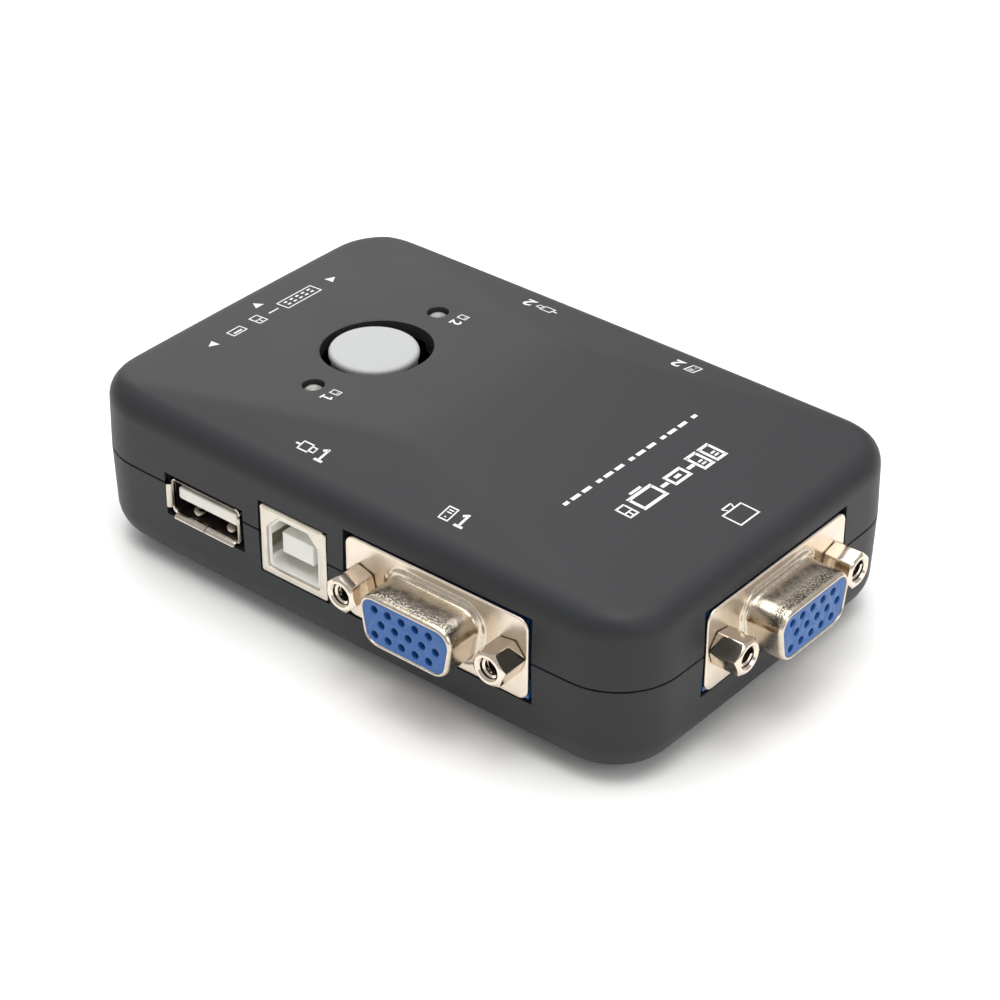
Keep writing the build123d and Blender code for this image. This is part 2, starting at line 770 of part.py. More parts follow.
with BuildPart() as switch_plunger:
    with BuildSketch(at_switch(plunger_foot)):
        Circle(plunger_radius)
    extrude(amount=plunger_shoulder - plunger_foot)
    with BuildSketch(at_switch(plunger_shoulder)):
        Rectangle(plunger_square, plunger_square)
    extrude(amount=plunger_top - plunger_shoulder)
    fillet(switch_plunger.edges().filter_by(Axis.Z), 0.3)
save(switch_plunger.part, "switch_plunger")

with BuildPart() as switch_body:
    with BuildSketch(at_switch(0)):
        RectangleRounded(switch_side, switch_side, 0.6)
    extrude(amount=switch_body_height)
    with BuildSketch(at_switch(0.9)):
        Circle(plunger_radius + 0.3)
    extrude(amount=switch_body_height, mode=Mode.SUBTRACT)
save(switch_body.part, "switch_body")

with BuildPart() as switch_dome:
    with BuildSketch(at_switch(0.9)):
        Circle(3.2)
    extrude(amount=0.45)
    fillet(switch_dome.edges().group_by(Axis.Z)[-1], 0.4)
save(switch_dome.part, "switch_dome")

with BuildPart() as switch_cover_plate:
    with BuildSketch(at_switch(switch_body_height)):
        RectangleRounded(switch_side - 0.4, switch_side - 0.4, 0.5)
        Circle(plunger_radius + 0.3, mode=Mode.SUBTRACT)
    extrude(amount=cover_sheet)
save(switch_cover_plate.part, "switch_cover_plate")

with BuildPart() as switch_terminals:
    for across, along in terminal_places:
        with BuildSketch(at_switch(-2.6)):
            with Locations((across, along)):
                Rectangle(0.4, 0.9)
        extrude(amount=4.2)
save(switch_terminals.part, "switch_terminals")

# ---------------------------------------------------------------- lamps

led_radius = 1.5
led_tip = 27.0
led_flange_z = 21.4
led_pitch = 2.54


def led(y):
    """A 3 mm lamp: a domed lens on a wider foot."""
    with BuildPart() as lens:
        with BuildSketch(Plane(origin=(case_x + button_x, y, led_flange_z))):
            Circle(1.9)
        extrude(amount=1.0)
        with BuildSketch(Plane(origin=(case_x + button_x, y, led_flange_z + 1.0))):
            Circle(led_radius)
        extrude(amount=led_tip - led_radius - led_flange_z - 1.0)
        with Locations((case_x + button_x, y, led_tip - led_radius)):
            Sphere(led_radius)
    return lens.part


save(led(-led_y), "led_1")
save(led(led_y), "led_2")

with BuildPart() as led_leads:
    for y in (-led_y, led_y):
        for side in (-1, 1):
            with BuildSketch(Plane(origin=(case_x + button_x, y, switch_board_top - 2.6))):
                with Locations((side * led_pitch / 2, 0)):
                    Rectangle(0.5, 0.5)
            extrude(amount=led_flange_z - switch_board_top + 2.6)
save(led_leads.part, "led_leads")

# ---------------------------------------------------------------- boards and the header between them

header_x = button_x + 7.5
header_pins_y = [2.54 * step - 2.0 for step in range(6)]
header_square = 0.64
lower_strip_height = 2.5

with BuildPart() as switch_board:
    with BuildSketch(at_case(switch_board_top)):
        with Locations((button_x, 0)):
            RectangleRounded(*switch_board_size, 1.0)
        with Locations(*switch_boss_places):
            Circle(1.2, mode=Mode.SUBTRACT)
        for across, along in terminal_places:
            with Locations((switch_x - case_x + across, switch_y + along)):
                Circle(0.6, mode=Mode.SUBTRACT)
        for y in (-led_y, led_y):
            with Locations((button_x - led_pitch / 2, y), (button_x + led_pitch / 2, y)):
                Circle(0.45, mode=Mode.SUBTRACT)
        with Locations(*[(header_x, y) for y in header_pins_y]):
            Circle(0.5, mode=Mode.SUBTRACT)
    extrude(amount=-board_thickness)
save(switch_board.part, "switch_board")

with BuildPart() as main_board:
    with BuildSketch(at_case(board_top)):
        RectangleRounded(board_length, board_width, board_corner)
        with Locations(*four_places(post_x, post_y)):
            Circle(post_radius + 0.4, mode=Mode.SUBTRACT)
        with Locations(*board_post_places):
            Circle(1.2, mode=Mode.SUBTRACT)
        with Locations(*[(header_x, y) for y in header_pins_y]):
            Circle(0.5, mode=Mode.SUBTRACT)
        for hole_x, hole_y, hole_radius in board_holes:
            with Locations((hole_x - case_x, hole_y)):
                Circle(hole_radius, mode=Mode.SUBTRACT)
    extrude(amount=-board_thickness)
save(main_board.part, "main_board")

strip_length = 6 * 2.54
strip_middle = sum(header_pins_y) / len(header_pins_y)

with BuildPart() as header_strips:
    for strip_z in (board_top, switch_board_top - board_thickness - lower_strip_height):
        with BuildSketch(at_case(strip_z)):
            with Locations((header_x, strip_middle)):
                Rectangle(2.5, strip_length)
            with Locations(*[(header_x, y) for y in header_pins_y]):
                Rectangle(header_square + 0.04, header_square + 0.04, mode=Mode.SUBTRACT)
        extrude(amount=lower_strip_height)
save(header_strips.part, "header_strips")

with BuildPart() as header_pins:
    with BuildSketch(at_case(board_top - board_thickness - 1.0)):
        with Locations(*[(header_x, y) for y in header_pins_y]):
            Rectangle(header_square, header_square)
    extrude(amount=switch_board_top - board_top + board_thickness + 2.0)
save(header_pins.part, "header_pins")

with BuildPart() as main_board_screws:
    with BuildSketch(at_case(board_top)):
        with Locations(*board_post_places):
            Circle(2.2)
    extrude(amount=1.5)
    fillet(main_board_screws.edges().group_by(Axis.Z)[-1], 0.6)
    with BuildSketch(at_case(board_top)):
        with Locations(*board_post_places):
            Circle(1.0)
    extrude(amount=-5)
    with BuildSketch(at_case(board_top + 0.8)):
        for place in board_post_places:
            with Locations(place):
                Rectangle(2.4, 0.5)
                Rectangle(0.5, 2.4)
    extrude(amount=1, mode=Mode.SUBTRACT)
save(main_board_screws.part, "main_board_screws")

with BuildPart() as switch_board_screws:
    with BuildSketch(at_case(switch_board_top - board_thickness)):
        with Locations(*switch_boss_places):
            Circle(2.0)
    extrude(amount=-1.4)
    fillet(switch_board_screws.edges().group_by(Axis.Z)[0], 0.5)
    with BuildSketch(at_case(switch_board_top - board_thickness)):
        with Locations(*switch_boss_places):
            Circle(1.0)
    extrude(amount=6)
save(switch_board_screws.part, "switch_board_screws")

# ---------------------------------------------------------------- electronics on the main board

lead_pitch = 1.27
chip_height = 1.5
chip_standoff = 0.15
video_chip_size = (4.0, 9.9)
video_chip_places = [(9.0, -8.0), (9.0, 8.0), (19.0, -8.0), (19.0, 8.0)]
usb_chip_place = (-1.0, 0.0)
usb_chip_side = 10.0
usb_lead_pitch = 0.8

with BuildPart() as video_switch_chips:
    with BuildSketch(at_case(board_top + chip_standoff)):
        with Locations(*video_chip_places):
            Rectangle(*video_chip_size)
    extrude(amount=chip_height)
    chamfer(video_switch_chips.edges().group_by(Axis.Z)[-1], 0.25)
save(video_switch_chips.part, "video_switch_chips")

with BuildPart() as usb_controller_chip:
    with BuildSketch(at_case(board_top + chip_standoff)):
        with Locations(usb_chip_place):
            Rectangle(usb_chip_side, usb_chip_side)
    extrude(amount=chip_height)
    chamfer(usb_controller_chip.edges().group_by(Axis.Z)[-1], 0.25)
save(usb_controller_chip.part, "usb_controller_chip")

with BuildPart() as chip_leads:
    for chip_x, chip_y in video_chip_places:
        for side in (-1, 1):
            with BuildSketch(at_case(board_top)):
                for step in range(7):
                    along = (step - 3) * lead_pitch
                    with Locations((chip_x + side * (video_chip_size[0] / 2 + 0.5), chip_y + along)):
                        Rectangle(1.0, 0.42)
            extrude(amount=0.6)
    for side in (-1, 1):
        for step in range(11):
            along = (step - 5) * usb_lead_pitch
            out = side * (usb_chip_side / 2 + 0.5)
            with BuildSketch(at_case(board_top)):
                with Locations((usb_chip_place[0] + out, usb_chip_place[1] + along)):
                    Rectangle(1.0, 0.35)
                with Locations((usb_chip_place[0] + along, usb_chip_place[1] + out)):
                    Rectangle(0.35, 1.0)
            extrude(amount=0.6)
save(chip_leads.part, "chip_leads")

with BuildPart() as crystal:
    with BuildSketch(at_case(board_top)):
        with Locations((0.0, 11.0)):
            SlotOverall(11.0, 4.5)
    extrude(amount=3.5)
    fillet(crystal.edges().group_by(Axis.Z)[-1], 0.6)
save(crystal.part, "crystal")

with BuildPart() as electrolytic_capacitors:
    with BuildSketch(at_case(board_top)):
        with Locations((0.0, -11.0), (27.0, 0.0), (-26.0, 0.0)):
            Circle(2.5)
    extrude(amount=5.5)
    fillet(electrolytic_capacitors.edges().group_by(Axis.Z)[-1], 0.5)
save(electrolytic_capacitors.part, "electrolytic_capacitors")

with BuildPart() as chip_resistors:
    with BuildSketch(at_case(board_top)):
        with Locations(*[(14.0, 2.6 * step - 9.1) for step in range(8)]):
            Rectangle(2.0, 1.25)
    extrude(amount=0.55)
save(chip_resistors.part, "chip_resistors")

with BuildPart() as chip_capacitors:
    with BuildSketch(at_case(board_top)):
        with Locations((-20.0, 12.0), (-20.0, -12.0), (-25.5, 4.0), (-25.5, -4.0), (24.0, 13.0), (24.0, -13.0)):
            Rectangle(2.0, 1.25)
    extrude(amount=0.9)
save(chip_capacitors.part, "chip_capacitors")
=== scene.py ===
# %% [markdown]
# # A desktop KVM switch
# Two computers share one monitor, keyboard and mouse through this small black box. The CAD frame
# gives every piece its true size and place. This file gives the pieces that can be seen their
# finish: rounded moulded edges, drawn and plated sockets, printed marks and real surfaces.

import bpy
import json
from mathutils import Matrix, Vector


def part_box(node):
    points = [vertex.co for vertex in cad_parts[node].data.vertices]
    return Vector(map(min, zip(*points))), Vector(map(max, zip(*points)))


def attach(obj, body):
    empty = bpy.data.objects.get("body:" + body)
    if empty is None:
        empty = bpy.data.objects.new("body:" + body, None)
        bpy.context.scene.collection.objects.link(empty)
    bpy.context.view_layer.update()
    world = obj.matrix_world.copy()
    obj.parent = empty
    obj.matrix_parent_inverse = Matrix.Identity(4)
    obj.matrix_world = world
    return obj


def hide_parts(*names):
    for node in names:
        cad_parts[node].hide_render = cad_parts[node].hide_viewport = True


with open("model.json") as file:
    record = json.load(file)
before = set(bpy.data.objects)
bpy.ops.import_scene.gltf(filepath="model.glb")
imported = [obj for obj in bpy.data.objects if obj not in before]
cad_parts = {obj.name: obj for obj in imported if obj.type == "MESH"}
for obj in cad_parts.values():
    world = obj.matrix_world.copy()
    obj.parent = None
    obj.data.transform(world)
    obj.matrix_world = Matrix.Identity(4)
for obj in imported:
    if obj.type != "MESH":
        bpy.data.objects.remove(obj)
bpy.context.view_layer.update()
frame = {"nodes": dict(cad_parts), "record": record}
nodes = frame["nodes"]
print("frame:", len(nodes), "CAD nodes")

# %% Units and the case's own middle
import json
import math

import bmesh
import bpy
from mathutils import Matrix, Vector

MM = 0.001
to_metres = Matrix.Scale(MM, 4)
case_low, case_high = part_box("bottom_cover")
case_x = (case_low.x + case_high.x) / 2 / MM
print("case middle at x =", round(case_x, 2), "mm")

# %% [markdown]
# ## Camera, light and floor
# The object is seen from in front and to the right, from about 33 degrees above, through a long
# lens that keeps its edges nearly parallel. The floor is plain and pale, and the light is one
# broad overhead panel with weaker ones beside it, as in a small product tent.

# %% Camera
camera_place = Vector((208.05, -254.80, 229.10)) * MM
camera_forward = Vector((-0.52931, 0.64487, -0.55134))
camera_right = Vector((0.77069, 0.63719, 0.00538))
camera_up = camera_right.cross(camera_forward)
camera_data = bpy.data.cameras.new("camera")
camera_data.sensor_width = 36
camera_data.lens = 102.05
camera_data.clip_start = 0.01
camera_data.clip_end = 20
camera = bpy.data.objects.new("camera", camera_data)
camera_turn = Matrix((camera_right, camera_up, -camera_forward)).transposed()
camera.matrix_world = Matrix.Translation(camera_place) @ camera_turn.to_4x4()
bpy.context.scene.collection.objects.link(camera)
bpy.context.scene.camera = camera
bpy.context.scene.view_settings.view_transform = "Standard"


# %% Panels of light
def light_panel(name, place, target, size, power):
    """A square soft light at a place in metres, aimed at a target."""
    data = bpy.data.lights.new(name, "AREA")
    data.shape = "SQUARE"
    data.size = size
    data.energy = power
    panel = bpy.data.objects.new(name, data)
    panel.location = place
    aim = Vector(target) - Vector(place)
    panel.rotation_euler = aim.to_track_quat("-Z", "Y").to_euler()
    bpy.context.scene.collection.objects.link(panel)


light_panel("overhead", (0.0, 0.06, 0.80), (0, 0, 0), 0.95, 6.4)
light_panel("key", (0.08, -0.10, 0.80), (0, 0, 0), 0.3, 1.1)
light_panel("back_left", (-0.60, 0.45, 0.40), (0, 0, 0.02), 0.5, 1.25)
light_panel("right_fill", (0.70, -0.05, 0.40), (0, 0, 0.02), 0.4, 0.9)
world = bpy.data.worlds.new("tent")
world.use_nodes = True
tent = world.node_tree.nodes["Background"]
tent.inputs["Color"].default_value = (1.0, 0.995, 0.985, 1)
tent.inputs["Strength"].default_value = 0.54
bpy.context.scene.world = world
print("lights: four panels and an even tent")


# %% [markdown]
# ## A small set of modelling tools
# Almost every piece here is drawn sheet or moulded plastic, and both keep one outline that
# changes a little from ring to ring. So the main tool starts from a circle of edges and extrudes
# it ring by ring, laying each new ring on an outline that is worked out from the part's sizes.

# %% Starting and finishing a piece
def start_clean():
    """Object mode, with nothing selected."""
    if bpy.context.object and bpy.context.object.mode != "OBJECT":
        bpy.ops.object.mode_set(mode="OBJECT")
    bpy.ops.object.select_all(action="DESELECT")


def only(piece):
    start_clean()
    piece.select_set(True)
    bpy.context.view_layer.objects.active = piece


def named(piece, name):
    """Gives the object and its mesh one name."""
    piece.name = name
    piece.data.name = name
    return piece


def apply_modifier(piece, kind, **settings):
    """Adds one modifier with its settings and applies it."""
    only(piece)
    modifier = piece.modifiers.new(kind.lower(), kind)
    for setting, value in settings.items():
        setattr(modifier, setting, value)
    bpy.ops.object.modifier_apply(modifier=modifier.name)


def bevel(piece, width, segments, degrees):
    """Rounds every edge that turns by more than the angle. The width is in millimetres."""
    limit = {"limit_method": "ANGLE", "angle_limit": math.radians(degrees), "use_clamp_overlap": True}
    apply_modifier(piece, "BEVEL", width=width * MM, segments=segments, **limit)


def smooth(piece, degrees):
    only(piece)
    bpy.ops.object.shade_smooth_by_angle(angle=math.radians(degrees))


def tidy_normals(piece):
    only(piece)
    bpy.ops.object.mode_set(mode="EDIT")
    bpy.ops.mesh.select_all(action="SELECT")
    bpy.ops.mesh.remove_doubles(threshold=1e-6)
    bpy.ops.mesh.normals_make_consistent(inside=False)
    bpy.ops.object.mode_set(mode="OBJECT")


# %% Ring by ring
def lay_ring(piece, ring):
    """Moves the selected ring of vertices onto the ring's points, matched by station number."""
    cage = bmesh.from_edit_mesh(piece.data)
    station = cage.verts.layers.int["station"]
    for vertex in cage.verts:
        if vertex.select:
            vertex.co = ring[vertex[station]]
    bmesh.update_edit_mesh(piece.data)


def extrude_rings(name, rings, first="open", last="open"):
    """A skin through rings of points. Each end stays open, or is filled with a face."""
    start_clean()
    bpy.ops.mesh.primitive_circle_add(vertices=len(rings[0]), radius=MM)
    piece = named(bpy.context.object, name)
    bpy.ops.object.mode_set(mode="EDIT")
    cage = bmesh.from_edit_mesh(piece.data)
    station = cage.verts.layers.int.new("station")
    for index, vertex in enumerate(cage.verts):
        vertex[station] = index
    bmesh.update_edit_mesh(piece.data)
    lay_ring(piece, rings[0])
    if first == "face":
        bpy.ops.mesh.edge_face_add()
    for ring in rings[1:]:
        bpy.ops.mesh.extrude_edges_indiv()
        lay_ring(piece, ring)
    if last == "face":
        bpy.ops.mesh.edge_face_add()
    bpy.ops.object.mode_set(mode="OBJECT")
    piece.data.attributes.remove(piece.data.attributes["station"])
    tidy_normals(piece)
    return piece


# %% Outlines
def rounded_outline(corners, radius, arc_steps, side_steps):
    """Points along a polygon with rounded corners, the same count whatever the polygon's shape."""
    count = len(corners)
    arcs = []
    for index, corner in enumerate(corners):
        here = Vector(corner)
        back = (Vector(corners[index - 1]) - here).normalized()
        ahead = (Vector(corners[(index + 1) % count]) - here).normalized()
        half = back.angle(ahead) / 2
        centre = here + (back + ahead).normalized() * (radius / math.sin(half))
        start = here + back * (radius / math.tan(half)) - centre
        sweep = math.pi - 2 * half
        angles = [sweep * step / arc_steps for step in range(arc_steps + 1)]
        arcs.append([centre + Matrix.Rotation(angle, 2) @ start for angle in angles])
    points = []
    for index, arc in enumerate(arcs):
        points += arc
        following = arcs[(index + 1) % count][0]
        points += [arc[-1].lerp(following, step / side_steps) for step in range(1, side_steps)]
    return points


def rectangle_corners(width, height):
    right = width / 2
    top = height / 2
    return [(-right, -top), (right, -top), (right, top), (-right, top)]


def circle_points(radius, count):
    angles = [2 * math.pi * k / count for k in range(count)]
    return [(radius * math.cos(angle), radius * math.sin(angle)) for angle in angles]


def turned(name, outline, centre_x, centre_y, count):
    """A solid turned round an upright axis from its radii and heights, in millimetres."""
    rings = []
    for radius, height in outline:
        circle = circle_points(radius, count)
        rings.append([Vector((centre_x + x, centre_y + y, height)) * MM for x, y in circle])
    return extrude_rings(name, rings, first="face", last="face")


# %% Boxes and rods, joining and cutting
def block(name, size, centre, place=Matrix.Identity(4)):
    """A box in millimetres, in a port's own directions where a placing matrix is given."""
    start_clean()
    bpy.ops.mesh.primitive_cube_add(size=1)
    piece = named(bpy.context.object, name)
    piece.data.transform(place @ Matrix.Translation(Vector(centre)) @ Matrix.Diagonal((*size, 1)))
    return piece


def rod(name, radius, length, centre):
    """An upright rod, given in millimetres."""
    start_clean()
    bpy.ops.mesh.primitive_cylinder_add(vertices=48, radius=radius, depth=length)
    piece = named(bpy.context.object, name)
    piece.data.transform(to_metres @ Matrix.Translation(Vector(centre)))
    return piece


def join(pieces, name):
    """Makes one object of the pieces, in the first one's place."""
    start_clean()
    for piece in pieces:
        piece.select_set(True)
    bpy.context.view_layer.objects.active = pieces[0]
    if len(pieces) > 1:
        bpy.ops.object.join()
    return named(pieces[0], name)


def cut(piece, cutter, operation="DIFFERENCE"):
    apply_modifier(piece, "BOOLEAN", object=cutter, operation=operation, solver="EXACT")
    bpy.data.objects.remove(cutter)


# %% Where each socket is
def port_place(mount_name, depth):
    """The matrix from a socket's own millimetres (right, up, outwards) to the frame in metres."""
    mount = next(m for m in frame["record"]["mounts"] if m["name"] == mount_name)
    outwards = Vector(mount["axis"])
    upwards = Vector((0, 0, 1))
    rightwards = upwards.cross(outwards)
    origin = Vector(mount["pos_m"]) - outwards * depth * MM
    turn = Matrix((rightwards, upwards, outwards)).transposed().to_4x4()
    return Matrix.Translation(origin) @ turn @ to_metres


def port_places(names, depth=0.0):
    return {name: port_place(f"{name}_port", depth) for name in names}


vga_reach = 6.0
vga_places = port_places(("vga_near", "vga_far", "vga_monitor"), vga_reach)
usb_a_places = port_places(("usb_a_near", "usb_a_far", "usb_a_end"))
usb_b_places = port_places(("usb_b_near", "usb_b_far"))
print("sockets:", len(vga_places) + len(usb_a_places) + len(usb_b_places))

# %% [markdown]
# ## Surfaces
# Every surface is built from shader nodes and worked out from the piece's own coordinates. The
# case is black plastic with a fine spark-eroded texture, which scatters light softly, so its
# bump is tiny and its roughness high. Plated sheet is much smoother, and only slightly mottled.


# %% One helper for every surface
def linear(red, green, blue):
    """A colour as seen on a screen, 0 to 255, turned into the linear values that shaders use."""
    values = []
    for level in (red, green, blue):
        part = level / 255
        values.append(((part + 0.055) / 1.055) ** 2.4 if level > 10 else part / 12.92)
    return tuple(values)


def noise_node(tree, where, cell, detail):
    """Noise with cells of a size in millimetres."""
    noise = tree.nodes.new("ShaderNodeTexNoise")
    noise.inputs["Scale"].default_value = 1 / (cell * MM)
    noise.inputs["Detail"].default_value = detail
    tree.links.new(where.outputs["Object"], noise.inputs["Vector"])
    return noise


def surface(name, screen_colour, roughness, metallic=0.0, grain=None, mottle=None, inputs=None):
    """A principled surface.

    Grain is the bump's cell and depth in mm. Mottle is a cell in mm, how much darker the dark
    places are, and how far the roughness swings.
    """
    made = bpy.data.materials.new(name)
    made.use_nodes = True
    tree = made.node_tree
    colour = linear(*screen_colour)
    shader = tree.nodes["Principled BSDF"]
    shader.inputs["Base Color"].default_value = (*colour, 1)
    shader.inputs["Roughness"].default_value = roughness
    shader.inputs["Metallic"].default_value = metallic
    for socket, value in (inputs or {}).items():
        shader.inputs[socket].default_value = value
    where = tree.nodes.new("ShaderNodeTexCoord")
    if grain:
        cell, depth = grain
        noise = noise_node(tree, where, cell, 2)
        bump = tree.nodes.new("ShaderNodeBump")
        bump.inputs["Strength"].default_value = 1
        bump.inputs["Distance"].default_value = depth * MM
        tree.links.new(noise.outputs["Fac"], bump.inputs["Height"])
        tree.links.new(bump.outputs["Normal"], shader.inputs["Normal"])
    if mottle:
        cell, amount, swing = mottle
        cloud = noise_node(tree, where, cell, 4)
        tint = tree.nodes.new("ShaderNodeValToRGB")
        darker = tuple(c * (1 - amount) for c in colour)
        tint.color_ramp.elements[0].position = 0.3
        tint.color_ramp.elements[0].color = (*darker, 1)
        tint.color_ramp.elements[1].position = 0.7
        tint.color_ramp.elements[1].color = (*colour, 1)
        rough = tree.nodes.new("ShaderNodeMapRange")
        rough.inputs["To Min"].default_value = max(0.02, roughness - swing)
        rough.inputs["To Max"].default_value = min(1, roughness + swing)
        tree.links.new(cloud.outputs["Fac"], tint.inputs["Fac"])
        tree.links.new(tint.outputs["Color"], shader.inputs["Base Color"])
        tree.links.new(cloud.outputs["Fac"], rough.inputs["Value"])
        tree.links.new(rough.outputs["Result"], shader.inputs["Roughness"])
    return made


# %% Plastics, rubber and ink
case_look = {"grain": (0.22, 0.006), "mottle": (9, 0.05, 0.04), "inputs": {"Specular IOR Level": 0.3}}
case_plastic = surface("case_plastic", (41, 42, 44), 0.5, **case_look)
button_plastic = surface("button_plastic", (169, 171, 170), 0.42, grain=(0.3, 0.0015), mottle=(6, 0.02, 0.03))
vga_blue = surface("vga_blue", (36, 92, 160), 0.4, grain=(0.2, 0.002), mottle=(4, 0.06, 0.04))
white_glow = {"Subsurface Weight": 0.25, "Subsurface Radius": (0.0012, 0.0011, 0.0010)}
white_plastic = surface("white_plastic", (238, 237, 231), 0.42, mottle=(3, 0.04, 0.04), inputs=white_glow)
tongue_glow = {"Subsurface Weight": 0.2, "Subsurface Radius": (0.001, 0.001, 0.001)}
tongue_plastic = surface("tongue_plastic", (238, 234, 226), 0.4, mottle=(3, 0.05, 0.04), inputs=tongue_glow)
clear = {"Transmission Weight": 0.35, "IOR": 1.5}
lamp_clear = surface("lamp_clear", (176, 174, 171), 0.14, mottle=(1.2, 0.2, 0.05), inputs=clear)
foot_rubber = surface("foot_rubber", (46, 46, 47), 0.8, grain=(0.3, 0.006), mottle=(2, 0.1, 0.04))
white_ink = surface("white_ink", (222, 224, 224), 0.5, mottle=(0.35, 0.06, 0.04))
floor_white = surface("floor_white", (250, 250, 249), 0.6, mottle=(120, 0.01, 0.02))

# %% Metals
plate_tone = (232, 219, 203)
nickel = surface("nickel", plate_tone, 0.13, 1.0, grain=(0.9, 0.002), mottle=(1.6, 0.10, 0.05))
flange_plate = surface("flange_plate", plate_tone, 0.3, 1.0, grain=(0.35, 0.006), mottle=(1.6, 0.10, 0.05))
frost = {"grain": (0.28, 0.012), "mottle": (0.7, 0.2, 0.08)}
nickel_frosted = surface("nickel_frosted", (222, 210, 192), 0.2, 1.0, **frost)
# Painted shade for the jackscrews' deep bores and thread roots.
bore_painted_shade = surface("bore_painted_shade", (60, 56, 52), 0.5, 0.8, mottle=(0.4, 0.3, 0.1))
# Painted shade for the inside of the USB-A tubes.
tube_painted_shade = surface("tube_painted_shade", (46, 42, 38), 0.45, 0.6, mottle=(0.8, 0.3, 0.1))
tin_steel = surface("tin_steel", (214, 206, 194), 0.2, 1.0, grain=(0.8, 0.002), mottle=(1.5, 0.12, 0.06))
screw_metal = surface("screw_metal", (205, 200, 192), 0.28, 1.0, mottle=(1.0, 0.15, 0.06))
gold = surface("gold", (232, 190, 110), 0.22, 1.0, mottle=(0.7, 0.12, 0.05))
lamp_cup = surface("lamp_cup", (200, 200, 196), 0.25, 1.0, mottle=(0.5, 0.1, 0.05))

# %% Pieces on the circuit board
board_green = surface("board_green", (22, 84, 48), 0.4, mottle=(3, 0.15, 0.05))
chip_black = surface("chip_black", (28, 28, 30), 0.5, grain=(0.1, 0.002), mottle=(1, 0.1, 0.04))
switch_black = surface("switch_black", (34, 34, 36), 0.45, mottle=(2, 0.1, 0.05))
tinned = surface("tinned", (200, 200, 198), 0.3, 1.0, mottle=(0.5, 0.15, 0.06))
can_metal = surface("can_metal", (208, 210, 212), 0.26, 1.0, mottle=(2, 0.08, 0.05))
resistor_grey = surface("resistor_grey", (52, 50, 54), 0.5, mottle=(0.5, 0.1, 0.05))
capacitor_tan = surface("capacitor_tan", (150, 118, 84), 0.5, mottle=(0.5, 0.1, 0.05))

# %% A surface for every slot
slot_surface = {
    "case_black": case_plastic,
    "button_grey": button_plastic,
    "lamp_clear": lamp_clear,
    "nickel_plate": nickel,
    "socket_steel": tin_steel,
    "vga_blue": vga_blue,
    "usb_white": white_plastic,
    "contact_gold": gold,
    "board_green": board_green,
    "chip_black": chip_black,
    "switch_black": switch_black,
    "tinned_lead": tinned,
    "can_aluminium": can_metal,
    "resistor_body": resistor_grey,
    "capacitor_body": capacitor_tan,
    "screw_steel": screw_metal,
    "foot_rubber": foot_rubber,
}
for subpart in frame["record"]["subparts"]:
    node = nodes[subpart["node"]]
    node.data.materials.clear()
    node.data.materials.append(slot_surface[subpart["material_slot"]])
print("surfaces:", len(slot_surface), "slots")


# %% Handing a piece over
def settle(piece, body, slot, replaces, look=None, second=None):
    """Gives a piece its surface, the body that it rides on and the CAD nodes that it stands for."""
    indices = [face.material_index for face in piece.data.polygons]
    piece.data.materials.clear()
    piece.data.materials.append(look or slot_surface[slot])
    if second:
        piece.data.materials.append(second)
        piece.data.polygons.foreach_set("material_index", indices)
    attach(piece, body)
    if replaces:
        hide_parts(*replaces)


# %% [markdown]
# ## Floor
# A plain sheet of pale card under the object, so that nothing competes with it.

# %% Floor
start_clean()
bpy.ops.mesh.primitive_plane_add(size=6)
floor = bpy.context.object
floor.name = "floor"
floor.data.materials.append(floor_white)
print("floor:", floor.dimensions.x, "m wide")

# %% [markdown]
# ## The case
# Two mouldings meet at a fine parting line half way up. Each side bows outwards by half a
# millimetre so that it doesn't look hollow. The upper one rises to a shallow hipped roof through
# a 3 mm rounding, and the lower one tucks under through a 5 mm rounding.

# %% The outline seen from above
case_half_x = 48.42
case_half_y = 30.82
case_corner = 9.4
least_corner = 0.9
side_bulge = 0.50
end_bulge = 0.33
parting_z = 15.3
parting_half_gap = 0.1
upper_draft = math.tan(math.radians(1.26))
lower_draft = math.tan(math.radians(1.78))


def case_outline(inset):
    """Plan points in millimetres about the case's middle, moved in by the inset."""
    half_x = case_half_x - inset
    half_y = case_half_y - inset
    corner = max(case_corner - inset, min(least_corner, half_y * 0.5))
    plan = rounded_outline(rectangle_corners(2 * half_x, 2 * half_y), corner, 12, 32)
    bowed = []
    for point in plan:
        bow_x = end_bulge * max(0, 1 - (point.y / half_y) ** 2)
        bow_y = side_bulge * max(0, 1 - (point.x / half_x) ** 2)
        bowed.append((point.x * (1 + bow_x / half_x), point.y * (1 + bow_y / case_half_y)))
    return bowed


def case_ring(inset, height):
    """A ring of the case in metres. The height is a number, or a function of the place."""
    ring = []
    for x, y in case_outline(inset):
        z = height(x, y) if callable(height) else height
        ring.append(Vector((x + case_x, y, z)) * MM)
    return ring


# %% The roof's height above the rim
rim_z = 26.0
roof_rise = 2.45
roof_half_length = 44.5
roof_half_width = 28.2
roof_side_slope = 0.2
ridge_softness = 3.0
crease_softness = 0.12


def roof(x, y):
    """Shallow slopes to the ends and steeper ones to the sides, softly joined."""
    along = math.sqrt(x * x + ridge_softness ** 2)
    end_slope = roof_rise * (1 - along / roof_half_length)
    side_slope = roof_side_slope * (roof_half_width - abs(y))
    gap = abs(end_slope - side_slope)
    softening = max(0, crease_softness - gap) ** 2 / (4 * crease_softness)
    return min(end_slope, side_slope) - softening


# %% Walls shared by the two mouldings
wall = 2.0
edge_round = 0.12
fillet_angles = [math.radians(90 * step / 12) for step in range(13)]


def edge_rings(height, way):
    """The rounded edge at the parting line. The wall goes on up (1) or down (-1) from it."""
    steps = [(edge_round, 0), (0.3 * edge_round, 0.3 * edge_round), (0, edge_round)]
    return [case_ring(inset, height + way * climb) for inset, climb in steps]


def thicken(shell):
    apply_modifier(shell, "SOLIDIFY", thickness=wall * MM, offset=-1, use_even_offset=True)


